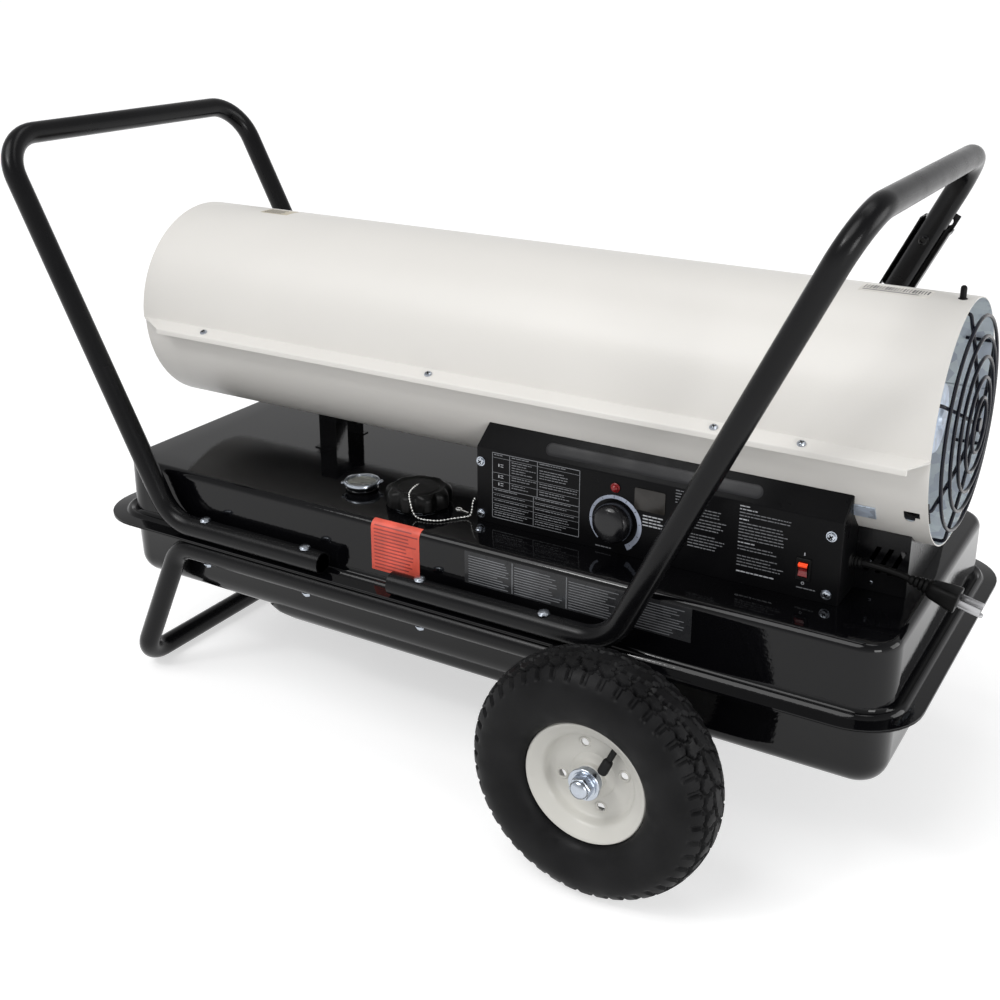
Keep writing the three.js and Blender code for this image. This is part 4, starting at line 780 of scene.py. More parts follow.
def tyre(label, side):
    """A section of (radius, distance from the middle, run along the tread), turned and cut by the pattern."""
    half, middle, crown, power = 38.5, 94.0, 33.0, 2 / 2.3
    seat, drop = 21.4, 30
    quarter = [math.pi / 2 * i / 34 for i in range(35)]
    tread = [(middle + crown * math.cos(t) ** power, half * math.sin(t) ** power) for t in quarter]
    runs = [0.0, *accumulate(map(math.dist, tread, tread[1:]))]
    wall = [(middle - drop * math.sin(t), seat + (half - seat) * math.cos(t) ** 0.9, PLAIN)
            for t in (math.pi / 2 * i / 12 for i in range(1, 13))]
    outside = [(r, b, run) for (r, b), run in zip(tread, runs)] + wall
    inside = ((61.2, 19.4), (61.0, 16), (80, 12), (80, -12), (61.0, -16), (61.2, -19.4))
    section = [(r, -b, -run) for r, b, run in outside[::-1]] + outside[1:] + [(r, b, PLAIN) for r, b in inside]
    centre = Vector((WHEEL_X, side * WHEEL_Y, WHEEL_Z))
    count = PITCHES * STEPS
    rings = []
    for k in range(count):
        angle = 2 * math.pi * k / count
        ring = []
        for r, b, run in section:
            cut = tread_cut(k / STEPS, run) if abs(run) < PLAIN else 0.0
            pull = Vector((r - middle, b)).normalized() * cut
            r -= pull.x
            ring.append(centre + Vector((r * math.cos(angle), b - pull.y, r * math.sin(angle))))
        rings.append(ring)
    bm = bmesh.new()
    skin(bm, rings, closed_loop=True)
    made(f"tyre_smooth_{label}", bm, "tyre", "tyre_rubber", f"tyre_{label}", f"wheel_{label}", 28)


def rim(label, side):
    """A dished disc with four collared holes, and the well behind it."""
    face = [(62.4, 20.4), (63.6, 21.6), (63.7, 23.0), (62.8, 24.0), (61.3, 24.0), (59.6, 23.0), (57.0, 21.2),
            (54.0, 19.2), (51.2, 17.4), (49.2, 16.0), (48.0, 14.2), (47.0, 11.4), (46.0, 8.6), (44.6, 6.4),
            (42.4, 5.0), (39.6, 4.7), (23.6, 4.7), (22.6, 5.4), (21.4, 6.0), (19.6, 6.4), (17.6, 7.6),
            (15.6, 9.2), (15.0, 11.0), (15.0, 13.4), (14.4, 14.2), (13.4, 14.2)]
    well = [(63.5, -22.0), (63.2, -23.8), (61.2, -24.0), (58.0, -21.4), (54.4, -17.6), (51.4, -15.2),
            (48.4, -12), (46.8, 2.0)]
    collar = [(HOLE_R, 4.2), (6.6, 4.2), (6.2, 5.2), (5.3, 5.8), (4.4, 5.5), (HOLE_R, 5.0)]
    centre, outward = (WHEEL_X, side * WHEEL_Y, WHEEL_Z), (0, side, 0)
    spots = [(x, side * WHEEL_Y, z) for x, z in circle(WHEEL_X, WHEEL_Z, HOLE_CIRCLE, 4, HOLE_TURN)]
    disc = bmesh.new()
    turned(disc, band(face, 1.6), centre, outward, 96)
    bm = combined(disc, [rod(HOLE_R, -4, 20, spot, outward, 24) for spot in spots])
    turned(bm, band(well, 1.6), centre, outward, 72)
    for spot in spots:
        turned(bm, collar, spot, outward, 28)
    made(f"rim_smooth_{label}", bm, "rim_white", None, f"rim_{label}", f"wheel_{label}", 32)


def valve(label, side):
    """The stem leaves the rim's slope and points to the hub, with its cap at the inner end."""
    root, tip = Vector(at(322, side * 299.5, 172)), Vector(at(311, side * 309, 144.6))
    bm = bmesh.new()
    pipe(bm, [root, tip], 3.2, 20)
    profile = [(0, -11.5), (4.2, -11.5), (5.0, -10), (5.2, 0), (4.8, 2.4), (3.6, 3.6), (2, 4.1), (0, 4.2)]
    turned(bm, profile, tip, tip - root, 24)
    made(f"valve_{label}", bm, "rubber", body=f"wheel_{label}", angle=35)


def axle_end(label, side):
    """Plain washer, flange and a domed nut."""
    base, outward = (WHEEL_X, side * 313.4, WHEEL_Z), (0, side, 0)
    bm = bmesh.new()
    turned(bm, [(8.6, 0), (16.2, 0), (16.6, 0.5), (16.6, 2.0), (16.2, 2.5), (8.6, 2.5)], base, outward, 48)
    turned(bm, [(8.6, 2.4), (13.0, 2.4), (13.2, 3.4), (13.2, 4.4), (8.6, 4.4)], base, outward, 48)
    soft = rounded(circle(0, 0, 11.9, 6, 12), [1.2] * 6, 3)
    levels = ((0.97, 4.2), (1.0, 4.9), (1.0, 9.6), (0.985, 10.6), (0.93, 11.3))
    join(bm, solid([[(a * s, b * s, z) for a, b in soft] for s, z in levels]), facing(base, outward))
    dome = [(9.6 * math.cos(t), 11.4 + 5.0 * math.sin(t)) for t in (math.pi / 2 * i / 8 for i in range(8))]
    turned(bm, [(0, 9.4), (9.6, 9.4), *dome, (0, 16.4)], base, outward, 40)
    made(f"axle_end_{label}", bm, "zinc", stands_for=f"axle_nut_{label}")


def sleeve(name, stands_for, direction, segments, inner, outer, start, end, along, body="machine"):
    """A round part on the wheels' axis, its outer edges broken."""
    radial = 0.4
    profile = [(inner, start), (outer - radial, start), (outer, start + along), (outer, end - along),
               (outer - radial, end), (inner, end)]
    turned_piece(name, profile, (WHEEL_X, 0, WHEEL_Z), direction, segments, "zinc", None, stands_for,
                 body=body, angle=35)


for label, side in (("near", -1), ("far", 1)):
    for build in (tyre, rim, valve, axle_end):
        build(label, side)
    outward = (0, side, 0)
    sleeve(f"hub_smooth_{label}", f"hub_{label}", outward, 48, 8.4, 14, 269, 313, 0.6, f"wheel_{label}")
    sleeve(f"spacer_{label}", f"axle_spacer_{label}", outward, 40, 8.3, 12, 220.5, 268.6, 0.5)
sleeve("axle_smooth", "axle", Y_AXIS, 40, 0, 8, -323.8, 323.8, 0.8)

# ---------------------------------------------------------------- intake guard and what lies behind

GUARD_X, GUARD_RISE, GUARD_R, WIRE_R = 552 + SHIFT, 9, 105.5, 1.8
QUARTERS, THIRDS = (45, 135, 225, 315), (0, 120, 240)


def dome_x(r):
    """Where the domed guard lies at a radius."""
    return GUARD_X - GUARD_RISE * (r / GUARD_R) ** 2


bm = bmesh.new()
for i in range(5):
    r = 27 + 19.6 * i
    pipe(bm, along_x(circle(0, BARREL_Z, r, 96), dome_x(r))[0], WIRE_R, 12, closed=True)
for angle in (14, 66, 118, 166, 242, 298):
    c, s = math.cos(math.radians(angle)), math.sin(math.radians(angle))
    edge = dome_x(105.4)
    wire = [(dome_x(r) - 3.6, r) for r in (0, 20, 40, 60, 80, 96)]
    turn_in = [(edge - 3.6, 105.4), (edge - 5.6, 118.6), (edge - 34, 118.6)]
    wire, turn_in = ([(x, -r * s, BARREL_Z + r * c) for x, r in part] for part in (wire, turn_in))
    pipe(bm, wire[:-1] + bent([wire[-1]] + turn_in, 4, 6), WIRE_R, 12)
turned(bm, [(0, -5), (6.4, -5), (7, -4.4), (7, 0.4), (6.2, 1), (0, 1)], (GUARD_X, 0, BARREL_Z), X_AXIS, 32)
made("guard", bm, "wire_black", "satin_black", "intake_guard", angle=35)


def barrel_core(name, profile, material, stands_for, *fins):
    """A piece about the barrel's axis, with radial fins: (angles, inner and outer radius, start, end, half)."""
    bm = bmesh.new()
    turned(bm, profile, at(0, 0, BARREL_Z), X_AXIS, 72)
    for angles, inner, outer, x0, x1, half in fins:
        for angle in angles:
            turn = spun(at(0, 0, BARREL_Z), angle, "X")
            block(bm, (x0, inner, -half), (x1, outer, half), 0.3, turn, 0, 1)
    made(name, bm, material, stands_for=stands_for)


barrel_core(
    "filter_housing",
    [(0, 500.3), (42, 500.3), (43, 501), (43, 504), (41.6, 505), (38.6, 506.3), (37.6, 508), (35.6, 512.6),
     (34, 514.1), (14, 514.3), (11.6, 515), (10, 518), (9, 518.3), (0, 518.3)],
    "galvanised", "filter_cover",
)
barrel_core(
    "pump_ring",
    [(4.4, 472.3), (44, 472.3), (45, 473.3), (45, 499), (44, 500), (39, 500), (35, 496), (4.4, 496)],
    "steel", "air_pump",
)
barrel_core(
    "motor_can",
    [(4.4, 348), (15, 348), (18, 353), (20, 354), (50, 357), (57, 360), (61, 366), (61, 388), (60, 388.6),
     (60, 441.4), (61, 442), (61, 458), (57, 464), (50, 468), (47, 472), (4.4, 472)],
    "satin_black", "motor",
)
barrel_core(
    "bracket_band", [(61.3, 396), (63.3, 396), (63.3, 424), (61.3, 424)],
    "galvanised", "motor_bracket", (QUARTERS, 62.3, 120.9, 396, 424, 1.25),
)
barrel_core(
    "chamber_shell",
    [(44.9, 116.5), (44.9, 118), (84, 118), (87, 117), (88, 114), (88, -400), (88.6, -403), (88.2, -404),
     (86.8, -404), (86.5, -402), (86.5, 113), (84, 116.5)],
    "heat_steel", "combustion_chamber",
    (QUARTERS, 87, 120.9, -344, -320, 1.0), (QUARTERS, 87, 120.9, 48, 72, 1.0),
)
barrel_core(
    "outlet_lip",
    [(120.8, -420), (120.8, -412), (119.4, -412), (117.4, -417.4), (94.6, -396), (93, -396), (114, -419.6),
     (116.4, -421), (119.4, -421.2)],
    "heat_steel", "outlet_ring",
)
barrel_core(
    "baffle_disc",
    [(0, -330), (30, -328.4), (40, -326), (46, -320), (48, -320), (43, -328), (30, -331), (0, -332)],
    "heat_steel", "flame_baffle", (THIRDS, 40, 85.6, -327, -318, 1.0),
)

# post that the guard's clip holds, on top of the barrel
turned_piece(
    "top_post",
    [(0, 558.6), (4.4, 558.6), (4.4, 559.8), (3.1, 560.2), (3.1, 569.4), (2.6, 571.2), (1.4, 572.2),
     (0, 572.4)],
    at(523.6, -5, 0), Z_AXIS, 28, "plastic", angle=35,
)

# rounded heads above and hexagon heads below hold the handles and the frame
HEX_R = 8 / math.sqrt(3)
bm = bmesh.new()
for side in (-1, 1):
    for x in (-267, -118, 38, 190):
        turned(bm, [(0, 230), (6.6, 230), (6.6, 231.2), (5.4, 233), (3, 233.9), (0, 234.1)],
               at(x, side * TUBE_Y, 0), Z_AXIS, 28)
        foot, down = at(x, side * TUBE_Y, 175.8), (0, 0, -1)
        turned(bm, [(0, 0), (6.2, 0), (6.2, 1.2), (0, 1.2)], foot, down, 28)
        turned(bm, [(0, 1.2), (HEX_R, 1.2), (HEX_R, 3.8), (HEX_R * 0.86, 4.8), (0, 4.8)], foot, down, 6, 0, 0.3)
made("frame_bolts", bm, "zinc")

# ---------------------------------------------------------------- cap, gauge and chain

CAP_LOBES, CAP_R = 9, 38
GAUGE = at(-101, -120, 0)


def cap_ring(scale, depth, z):
    """The cap's outline at a height, its grip drawn in between the lobes."""
    out = []
    for a, b in circle(0, 0, 1, 180):
        wave = (0.5 - 0.5 * math.cos(CAP_LOBES * math.atan2(b, a))) ** 1.6
        r = CAP_R * scale - depth * wave
        out.append((r * a, r * b, z))
    return out


grip = solid([cap_ring(*level) for level in (
    (0.97, 4.2, 0), (1.0, 4.6, 1.2), (1.0, 5.0, 12), (0.985, 5.0, 14.6), (0.955, 4.6, 16.6), (0.90, 3.6, 18.2),
    (0.84, 1.8, 19.1), (0.78, 0.4, 19.4), (0.74, 0.0, 18.6), (0.62, 0, 18.2), (0.60, 0, 18.9), (0.30, 0, 19.4),
    (0.02, 0, 19.6))])
bm = combined(grip, [rod(25.6, -4, 13.5, (0, 0, 0), Z_AXIS, 48)])
made("cap_grip", bm, "plastic", None, "fuel_cap", "fuel_cap", 40, Matrix.Translation(at(CAP_X, CAP_Y, CAP_Z)))

turned_piece(
    "neck",
    [(21.5, 262), (24, 262), (24, 275.3), (31.6, 275.3), (32, 275.8), (32, 276.6), (31.6, 277.1), (24.6, 277.1),
     (24, 277.8), (24, 284.5), (23.5, 285), (22, 285), (21.5, 284.5)],
    at(CAP_X, CAP_Y, 0), Z_AXIS, 64, "zinc", None, "filler_neck", angle=35,
)

turned_piece(
    "gauge_body",
    [(0, 275.3), (17.6, 275.3), (19, 276), (19, 277.6), (18.0, 278.6), (18.0, 281.2), (0, 281.2)],
    GAUGE, Z_AXIS, 64, "gloss_black", angle=35,
)
bm = bmesh.new()
turned(bm, [(17.0, 281), (18.6, 281), (20.2, 281.6), (21.2, 283), (21.2, 285), (20.4, 286.3), (18.8, 286.7),
            (17.3, 286), (17.0, 284.6)], GAUGE, Z_AXIS, 64)
for angle in (35, 215):
    block(bm, (20, -3, 282.4), (24.4, 3, 284.8), 0.8, spun(GAUGE, angle, "Z"))
made("gauge_ring", bm, "zinc", None, "gauge_bezel", angle=35)
bm = rod(17.2, 281.2, 281.4, GAUGE, Z_AXIS, 48)
for k in range(9):
    block(bm, (12.2, -0.35, 281.38), (15.2, 0.35, 281.5), 0, spun(GAUGE, -48 + 12 * k, "Z"), 1)
made("gauge_dial", bm, "label_olive label_ink", "lens", angle=35)
turned_piece("gauge_glass", [(0, 283.6), (17.1, 283.6), (17.1, 284.7), (14, 285.4), (8, 285.9), (0, 286.1)],
             GAUGE, Z_AXIS, 48, "glass", "lens", "gauge_lens")


def smooth_path(points, steps):
    """A curve through the points, with a number of steps between each two."""
    last = len(points) - 1
    out = []
    for i in range(last):
        a, b, c, d = (Vector(points[max(0, min(last, j))]) for j in (i - 1, i, i + 1, i + 2))
        for t in (k / steps for k in range(steps)):
            square, cube = (2 * a - 5 * b + 4 * c - d) * t * t, (3 * b - a - 3 * c + d) * t ** 3
            out.append(0.5 * (2 * b + (c - a) * t + square + cube))
    return out


# bead chain, from the middle of the cap over its edge, along the tank and up to the panel
CHAIN = [(-20, -122, 299), (-19, -133, 299), (-15, -147, 298.6), (-10, -155.4, 297), (-5.5, -159.6, 291.5),
         (-2.5, -160.6, 284), (2, -160.9, 278.4), (8, -160.6, 276.8), (15, -160, 276.8), (28, -154.7, 276.8),
         (38, -142, 276.8), (47, -131.6, 277), (52.4, -128.8, 279), (54.6, -128.4, 286), (55.8, -128.2, 295),
         (58.6, -128.2, 301)]
BEAD_R, BEAD_PITCH, THREAD_R = 1.05, 3.3, 0.32
path = smooth_path([at(*point) for point in CHAIN], 12)
bm = bmesh.new()
pipe(bm, path, THREAD_R, 6)
gone = 0.0
for a, b in zip(path, path[1:]):
    gone += (b - a).length
    if gone > BEAD_PITCH:
        gone = 0.0
        bead = bmesh.new()
        bmesh.ops.create_icosphere(bead, subdivisions=2, radius=BEAD_R)
        join(bm, bead, Matrix.Translation(b))
bead_chain = made("bead_chain", bm, "bead", "zinc", body=None, angle=60)
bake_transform(bead_chain)

# small ring with a pin, lying on the tank beside the neck
bm = bmesh.new()
pipe(bm, [at(x, y, 275.7) for x, y in circle(28, -113.6, 3.2, 24)], 0.6, 8, closed=True)
pipe(bm, [at(31.2, -114.2, 275.7), at(42.6, -117, 275.7)], 0.6, 8)
made("neck_ring", bm, "bead", "zinc", angle=60)

# ---------------------------------------------------------------- labels on the tank

# the upper pressing's near wall and fold, as (y, z), from the flange's bead up
WALL = [(inset - TANK["half_y"], z) for inset, z in UPPER_LINE if z > FLANGE_Z + 5.9 and inset >= 29.9][:-2]


def wall_point(z):
    """The wall's (y, z) at a height."""
    for (a, za), (b, zb) in zip(WALL, WALL[1:]):
        if za <= z <= zb:
            return (a + (b - a) * (z - za) / max(1e-6, zb - za), z)
    return (WALL[-1][0], z) if z > WALL[-1][1] else (WALL[0][0], z)


def wall_sheet(bm, line, x0, x1, lift, material):
    """A thin sheet on the near wall along a line of (y, z)."""
    join(bm, solid(along_x(offset_line(line, lift) + line[::-1], x0 + SHIFT, x1 + SHIFT)), None, material)


def wall_strip(bm, z0, z1, x0, x1, lift, material):
    """Lies on the near wall between two heights."""
    line = [wall_point(z0)] + [p for p in WALL if z0 <= p[1] <= z1] + [wall_point(z1)]
    wall_sheet(bm, line, x0, x1, lift, material)


def coral_label(x0, x1, foot, lift=0.35):
    """A blank label that goes round the fold, with thirteen ruled lines across it."""
    line = [wall_point(foot)] + [p for p in WALL if p[1] > foot]
    outer = [Vector(p) for p in offset_line(line, lift)]
    runs = [0.0, *accumulate(map(math.dist, line, line[1:]))]
    bm = bmesh.new()
    wall_sheet(bm, line, x0, x1, lift, 0)
    random.seed(3)
    for k in range(13):
        where = runs[-1] * (0.06 + 0.066 * k)
        i = next(i for i in range(len(runs) - 1) if runs[i] <= where <= runs[i + 1])
        middle = outer[i].lerp(outer[i + 1], (where - runs[i]) / (runs[i + 1] - runs[i]))
        along = (outer[i + 1] - outer[i]).normalized() * 0.75
        out = Vector((-along.y, along.x)).normalized() * 0.12
        length = 58 * (0.72 + 0.28 * random.random()) if k else 40
        quad = [middle - along - out / 2, middle + along - out / 2, middle + along + out, middle - along + out]
        start = x0 + SHIFT + 4
        join(bm, solid(along_x(quad, start, start + length)), None, 1)
    made("coral_label", bm, "coral coral_line", "red_plastic")


coral_label(-39, 25, 217)

bm = bmesh.new()
wall_strip(bm, 231, 268, 83, 343, 0.3, 0)
random.seed(5)
for x, width in ((88, 50), (144, 58), (208, 60), (274, 62)):
    for row in range(11):
        z = 263 - row * 2.95
        wall_strip(bm, z - 0.42, z + 0.42, x, x + width * (0.7 + 0.3 * random.random()), 0.42, 1)
for x in (141, 205):
    wall_strip(bm, 232, 267, x, x + 1, 0.42, 1)
made("grey_label", bm, "label_grey print_dim", "plastic")

# front support: a narrow top-hat bracket between the tank and the barrel
SADDLE_R = BARREL_R + 0.3
half = math.degrees(math.asin(29 / SADDLE_R))
saddle = arc(0, BARREL_Z, SADDLE_R, 270 - half, 270 + half, 10)
hat = [(-39, 276.3), (-29, 276.3), *saddle, (29, 276.3), (39, 276.3)]
bm = solid(along_x(band(hat, -SHEET), -234 + SHIFT, -209 + SHIFT))
made("front_bracket", bm, "satin_black", stands_for="front_support")

# ---------------------------------------------------------------- control panel

PANEL_Y, PANEL_FOOT, SLOPE_Z = -126.5, 275.3, 361.5
SLOPE_TOP = (-111.6, 385.6)
PANEL_X0, PANEL_X1 = 60 + SHIFT, 465.5 + SHIFT
KNOB_X, KNOB_Z = 228.4, 311.5
DIAL_X, DIAL_Z = 227.6 + SHIFT, 309.6
LAMP_X, LAMP_Z = 227.4, 348
ROCKER_X, ROCKER_Z = 429.9 + SHIFT, 306.3
FRONT = facing((0, PANEL_Y, 0), TO_NEAR)


def panel_section(draw, back=-76.3, floor=PANEL_FOOT, top=386.4):
    """The box's outline of (y, z), drawn in from the front and the slope."""
    corners = [(PANEL_Y, PANEL_FOOT), (PANEL_Y, SLOPE_Z), SLOPE_TOP]
    line = offset_line(rounded(corners, [0, 4.5, 0], 8), -draw)
    return [(line[0][0], floor)] + line[1:] + [(back, top), (back, floor)]


def panel_box():
    """A sheet box with soft end edges, cut to the barrel and for the controls, its slope's ends leaning in."""
    edge = ((0, 1.7), (0.25, 0.95), (0.85, 0.3), (1.7, 0))
    stations = [(PANEL_X0 + dx, draw) for dx, draw in edge]
    stations += [(PANEL_X1 - dx, draw) for dx, draw in edge[::-1]]
    outer = solid([along_x(panel_section(draw), x)[0] for x, draw in stations])
    inner = solid(along_x(panel_section(SHEET, -60, 260, 384.4), PANEL_X0 + SHEET, PANEL_X1 - SHEET))
    well = bmesh.new()
    block(well, (ROCKER_X - 6.2, PANEL_Y - 6, ROCKER_Z - 10), (ROCKER_X + 6.2, PANEL_Y + 6, ROCKER_Z + 10))
    bm = combined(outer, [
        inner,
        rod(BARREL_R + 0.3, PANEL_X0 - 9, PANEL_X1 + 9, (0, 0, BARREL_Z), X_AXIS, 160),
        well,
        rod(7.3, 120, 133, at(KNOB_X, 0, KNOB_Z), TO_NEAR, 32),
        rod(3.5, 120, 133, at(LAMP_X, 0, LAMP_Z), TO_NEAR, 32),
        rod(7.1, 455, 470, at(0, CORD_Y, CORD_Z), X_AXIS, 40),
    ])
    for v in bm.verts:
        up = max(0.0, (v.co.z - SLOPE_Z) / (SLOPE_TOP[1] - SLOPE_Z))
        v.co.x += (7 if v.co.x < PANEL_X0 + 3 else 3 if v.co.x > PANEL_X1 - 3 else 0) * up
    bmesh.ops.connect_verts_nonplanar(bm, angle_limit=0.01, faces=bm.faces[:])
    made("panel_box", bm, "panel_black", "satin_black", "control_panel")


panel_box()

# raised bead along the sloping top, as (inset, rise); it is pressed in the panel's sheet, and its lighter
# finish is painted sheen
levels = []
for inset, rise in ((0, -0.2), (0.3, 0.12), (1.2, 0.35), (2.6, 0.5), (4.4, 0.56)):
    r = 7.2 - inset
    levels.append([(a, b, rise) for a, b in arc(113, 0, r, -90, 90, 12) + arc(-113, 0, r, 90, 270, 12)])
made("panel_bead_painted_sheen", solid(levels), "panel_bead_painted_sheen", "satin_black",
     turn=facing(at(262, -119.8, 372.6), (0, -0.851, 0.525)))


def strip(bm, x0, z0, x1, z1, material=0):
    """A printed mark on the panel's front."""
    block(bm, (x0 + SHIFT, z0, -0.05), (x1 + SHIFT, z1, 0.1), 0, FRONT, material)


def lines(bm, x0, x1, top, rows, pitch=3.3, tall=0.95, material=1, least=0.55):
    """Ruled dashes in rows, some shorter, with a gap here and there."""
    for row in range(rows):
        z = top - row * pitch
        end = x0 + (x1 - x0) * random.uniform(least, 1.0)
        x = x0
        while x < end - 1:
            width = min(random.uniform(1.6, 6.5), end - x)
            strip(bm, x, z - tall, x + width, z, material)
            x += width + 0.8


random.seed(11)
bm = bmesh.new()
# the table's frame, its rows and its blank text
for z, half in ((358, 0.35), (283, 0.35), (317.4, 0.35), (352.8, 0.2), (335.5, 0.2), (326.5, 0.2),
                (311.5, 0.2), (305.6, 0.2), (299.6, 0.2), (291.4, 0.2)):
    strip(bm, 80, z - half, 186, z + half, 1)
for x, z0, z1 in ((80, 283, 358), (186, 283, 358), (101.5, 317.4, 358), (135.5, 317.4, 358),
                  (131, 283, 317.4)):
    strip(bm, x - 0.35, z0, x + 0.35, z1, 1)
UPPER_CELLS = ((356.4, 1), (333.8, 2), (324.8, 2))
LOWER_CELLS = ((316, 1), (310, 1), (304, 1), (297.6, 2), (289.6, 2))
for x0, x1, cells in ((104, 134, (UPPER_CELLS[0], (351, 5), *UPPER_CELLS[1:])),
                      (138, 184, (UPPER_CELLS[0], (349, 4), *UPPER_CELLS[1:])),
                      (82, 100, UPPER_CELLS[:1]), (82.5, 129, LOWER_CELLS), (133, 184, LOWER_CELLS)):
    for top, rows in cells:
        lines(bm, x0, x1, top, rows, 2.9, 0.85)
for z in (344.5, 331.8, 322.9):
    strip(bm, 87.5, z - 1.6, 88.7, z + 1.6)
    strip(bm, 90.2, z - 1.6, 93.6, z - 0.9)
    strip(bm, 90.2, z + 0.9, 93.6, z + 1.6)
# blank text beside the window, along the right half and under the knob and the switch
for block_of_lines in (
    (259, 283, 325, 4, 3.5, 1.3, 0, 0.8), (294, 312, 360, 5, 3.2, 1.0), (309, 346, 345, 3), (309, 352, 334, 4),
    (309, 356, 317, 5), (362, 382, 358.5, 2, 3.4, 1.1, 0), (362, 416, 351.5, 2, 3.3, 0.95, 1, 0.9),
    (362, 373, 344.5, 1, 3.3, 1.1, 0), (362, 412, 340.5, 6, 3.3, 0.95, 1, 0.8), (362, 386, 320, 1, 3.3, 1.1, 0),
    (362, 408, 316, 2), (362, 410, 305.5, 4, 3.3, 0.95, 1, 0.75), (362, 402, 289, 1, 3.2, 1.3, 0, 0.98),
    (424, 444, 286.5, 1, 3.2, 0.9, 1, 0.98), (206, 224, 279.6, 1, 3, 1.1, 1, 0.98),
):
    lines(bm, *block_of_lines)
# the switch's plain signs for on and off
strip(bm, 429.4, 320.4, 430.4, 323.6)
part = bmesh.new()
turned(part, [(1.0, 0), (1.6, 0), (1.6, 0.1), (1.0, 0.1)], (ROCKER_X, PANEL_Y, 291.2), TO_NEAR, 24)
join(bm, part, None, 0)
# the dial's tapering scale with its ten marks
scale = []
for k in range(61):
    t, share = math.radians(-62 + 290 * k / 60), k / 60
    scale.append((t, 25.6 + 0.9 * share, 31.0 - 2.0 * share + (1.0 if k < 3 else 0)))
outline = [(r * math.cos(t), r * math.sin(t)) for t, _, r in scale]
outline += [(r * math.cos(t), r * math.sin(t)) for t, r, _ in scale[::-1]]
join(bm, solid([[(DIAL_X + a, DIAL_Z + b, z) for a, b in outline] for z in (-0.05, 0.1)]), FRONT, 2)
for k in range(10):
    turn = FRONT @ spun((DIAL_X, DIAL_Z, 0), -52 + 29 * k, "Z")
    block(bm, (27.0, -0.35, 0.05), (29.2, 0.35, 0.16), 0, turn, 3)
made("panel_print", bm, "print print_dim label_scale label_ink", "shell_white")

# screws at the corners, one on the tank's top, two on the support behind
bm = bmesh.new()
for x, z in ((65.5, 345), (65.6, 284.2), (454.4, 346.2), (453.8, 285.2)):
    screw(bm, at(x, PANEL_Y, z), TO_NEAR, 4.2, 2.2, 5.3)
screw(bm, at(77, -149.4, 275), Z_AXIS, 4.0, 2.2)
for x, z in ((479.6, 306.2), (482.5, 284.3)):
    screw(bm, at(x, -76, z), TO_NEAR, 2.1, 1.4)
# the plastic is the painted shade in the screws' cross recesses
made("panel_screws", bm, "zinc plastic")

turned_piece(
    "lamp_dome",
    [(0, 118.5), (3.2, 118.5), (3.2, 126.8), (5.2, 126.8), (5.2, 127.6), (4.6, 128.2), (4.1, 128.4),
     (4.0, 129.4), (3.3, 130.8), (2.0, 131.6), (0, 131.9)],
    at(LAMP_X, 0, LAMP_Z), TO_NEAR, 36, "red", "red_plastic", "indicator_lamp", angle=40,
)

DOME_R, DOME_FOOT, DOME_TOP = 21.4, 127.4, 146.2
dome = [(DOME_R * math.cos(t) ** 0.5, DOME_FOOT + 6 + (DOME_TOP - DOME_FOOT - 6) * math.sin(t) ** 0.85)
        for t in (math.pi / 2 * i / 14 for i in range(14))]
knob_back = [(0, 130.3), (16, 130.3), (16, DOME_FOOT), (DOME_R - 0.8, DOME_FOOT), (DOME_R, DOME_FOOT + 0.8)]
bm = bmesh.new()
turned(bm, knob_back + dome + [(0, DOME_TOP)], at(KNOB_X, 0, KNOB_Z), TO_NEAR, 72)
join(bm, rod(3, 111.3, 131, at(KNOB_X, 0, KNOB_Z), TO_NEAR, 24))
block(bm, at(KNOB_X - 1.3, KNOB_Z + 4, 10), at(KNOB_X + 1.3, KNOB_Z + 16.5, 18.6), 0.6, FRONT)
made("knob", bm, "plastic_gloss", "plastic", "thermostat_knob", "thermostat_knob", 40)

# display window: a smoked pane in a thin raised edge
pane = plate(((17, 12, 2, 0.3), (17, 12, 2, 0.8), (16.5, 11.5, 2, 1.0)), 4, 266.4 + SHIFT, 341.4)
made("window_pane", pane, "smoked", None, "panel_window", turn=FRONT)

rocker_frame = plate([(w, h, 1.0, z) for w, h, z in (
    (5.9, 9.7, -20), (5.9, 9.7, 0.3), (7.4, 11.3, 0.3), (7.4, 11.3, 1.3), (6.9, 10.8, 1.9), (5.3, 8.4, 1.9),
    (4.85, 7.9, 1.3), (4.85, 7.9, -12))], 4, ROCKER_X, ROCKER_Z)
made("rocker_frame", rocker_frame, "plastic", None, "switch_bezel", turn=FRONT)

# rocker: a round back, and two faces that meet in a shallow V, tilted to OFF
UPPER_FACE = [(-2.2, 7.4), (-4.9, 6.3), (-5.1, 5.8), (-4.2, 3.6), (-3.5, 1.8)]
section = arc(0, 0, 7.6, 90, -90, 20) + UPPER_FACE + [(-3.2, 0)] + [(a, -b) for a, b in UPPER_FACE[::-1]]
cos, sin = math.cos(math.radians(8)), math.sin(math.radians(8))
section = [(PANEL_Y + 1 + a * cos - b * sin, ROCKER_Z + a * sin + b * cos) for a, b in section]
bm = solid(along_x(section, ROCKER_X - 4.6, ROCKER_X + 4.6))
# faces above a height take the lighter, glowing red, a painted highlight on the paddle's upper part; the rest
# keep the paddle's own dark red
for face in bm.faces:
    face.material_index = 1 if face.calc_center_median().z > ROCKER_Z + 2.6 else 0
made("rocker_paddle", bm, "red_dark red_lit", "red_plastic", "switch_rocker", "switch_rocker")

# ---------------------------------------------------------------- marks on the barrel


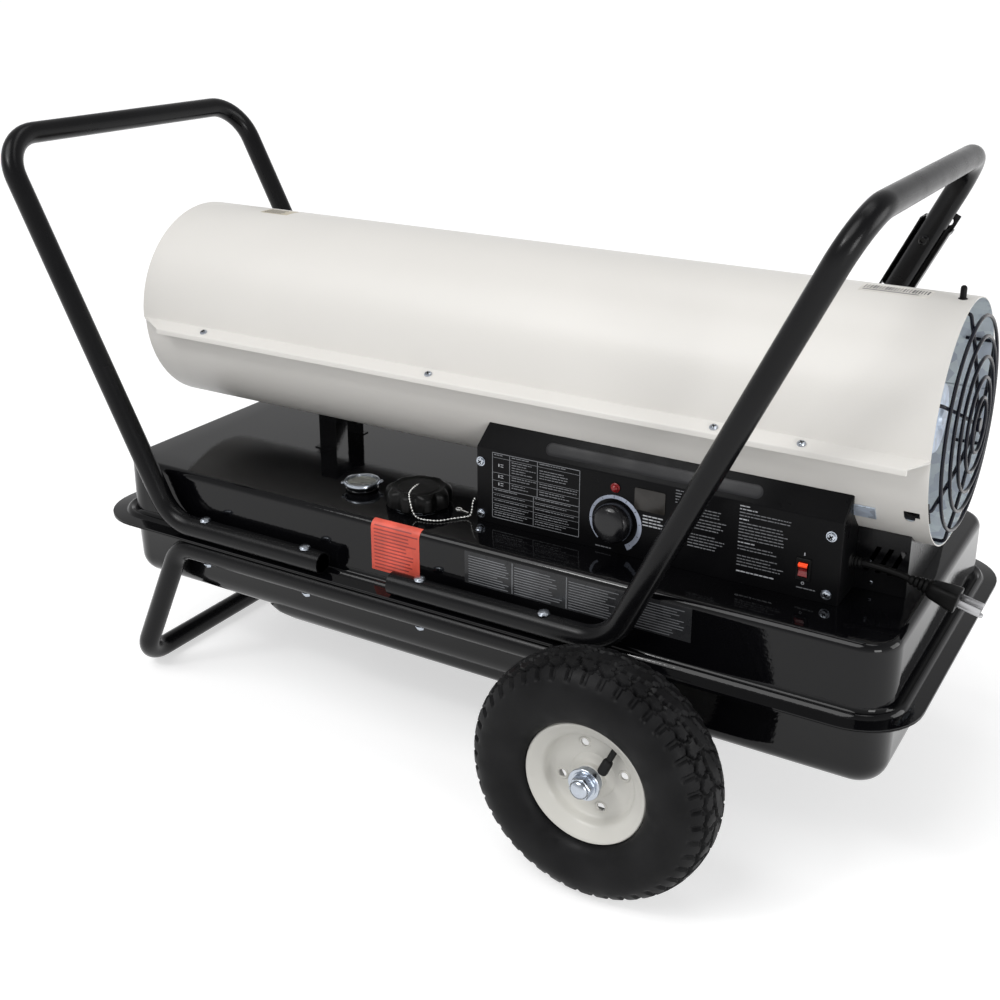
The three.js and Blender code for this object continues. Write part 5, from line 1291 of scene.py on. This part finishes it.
def barrel_patch(bm, x0, x1, a0, a1, lift, material):
    """A thin sheet on the barrel between two angles, counted from the top towards the near side."""
    outer = arc(0, BARREL_Z, BARREL_R + lift, 90 + a0, 90 + a1, 8)
    inner = arc(0, BARREL_Z, BARREL_R + 0.02, 90 + a1, 90 + a0, 8)
    join(bm, solid(along_x(outer + inner, x0 + SHIFT, x1 + SHIFT)), None, material)


bm = bmesh.new()
barrel_patch(bm, -326, -285, -6, 5, 0.25, 0)
barrel_patch(bm, 427, 495, -4, 8, 0.25, 1)
random.seed(4)
for row in range(4):
    barrel_patch(bm, -323, -323 + random.uniform(24, 35), -4 + 2.2 * row, -3.2 + 2.2 * row, 0.32, 2)
for k in range(22):
    x = 430 + k * 2.9
    barrel_patch(bm, x, x + random.choice((0.9, 1.4, 1.9)), -2, 4, 0.32, 2)
barrel_patch(bm, 430, 484, 5.2, 6, 0.32, 2)
made("barrel_labels", bm, "label_tan label_pale label_ink", "shell_white")

# ---------------------------------------------------------------- floor and light

world = bpy.data.worlds.new("world")
bpy.context.scene.world = world
n = Nodes(world, "Background")
generated = n.node("ShaderNodeTexCoord", {}).outputs["Generated"]
height = n.node("ShaderNodeSeparateXYZ", {0: generated}).outputs["Z"]
sky = [(place, (tone, tone, tone * 1.01)) for place, tone in ((0.0, 1.0), (0.35, 0.55), (1.0, 0.32))]
n.set(Color=n.ramp(height, sky, "EASE"))

floor_bm = bmesh.new()
bmesh.ops.create_grid(floor_bm, x_segments=1, y_segments=1, size=60)
floor_mesh = bpy.data.meshes.new("floor")
floor_bm.to_mesh(floor_mesh)
floor_bm.free()
n = new_finish("floor")
light_path = n.node("ShaderNodeLightPath", {}).outputs
seen = n.math("MAXIMUM", light_path["Is Camera Ray"], light_path["Is Glossy Ray"])
seen = n.math("MAXIMUM", seen, light_path["Is Transmission Ray"])
n.set(Base_Color=(0.6, 0.6, 0.6), Roughness=0.9, Specular_IOR_Level=0.1, Emission_Color=(1, 1, 1),
      Emission_Strength=n.math("MULTIPLY", seen, 0.56))
floor_mesh.materials.append(mats["floor"])
linked("floor", floor_mesh)


def lamp(name, place, target, size, watts):
    """A soft rectangular lamp that the camera doesn't see."""
    light = bpy.data.lights.new(name, "AREA")
    light.shape = "RECTANGLE"
    light.size, light.size_y = size
    light.energy = watts
    item = linked(name, light)
    item.location = place
    aim(item, Vector(target) - Vector(place))
    item.visible_camera = False


lamp("key", (-1.2, -2.6, 3.0), (0, 0, 0.35), (0.55, 0.35), 16)
lamp("top", (0.2, 0.4, 3.2), (0, 0, 0.3), (2.6, 0.7), 12)
lamp("side", (3.0, 0.9, 1.1), (0.4, 0, 0.35), (1.6, 1.4), 22)
lamp("fill", (2.5, -1.7, 0.9), (0.5, 0, 0.42), (0.9, 0.9), 18)

sun = bpy.data.lights.new("sun", "SUN")
sun.energy = 1.38
sun.angle = math.radians(40)
aim(linked("sun", sun), (0.35, 0.62, -1.0))

bpy.context.scene.view_settings.view_transform = "Standard"
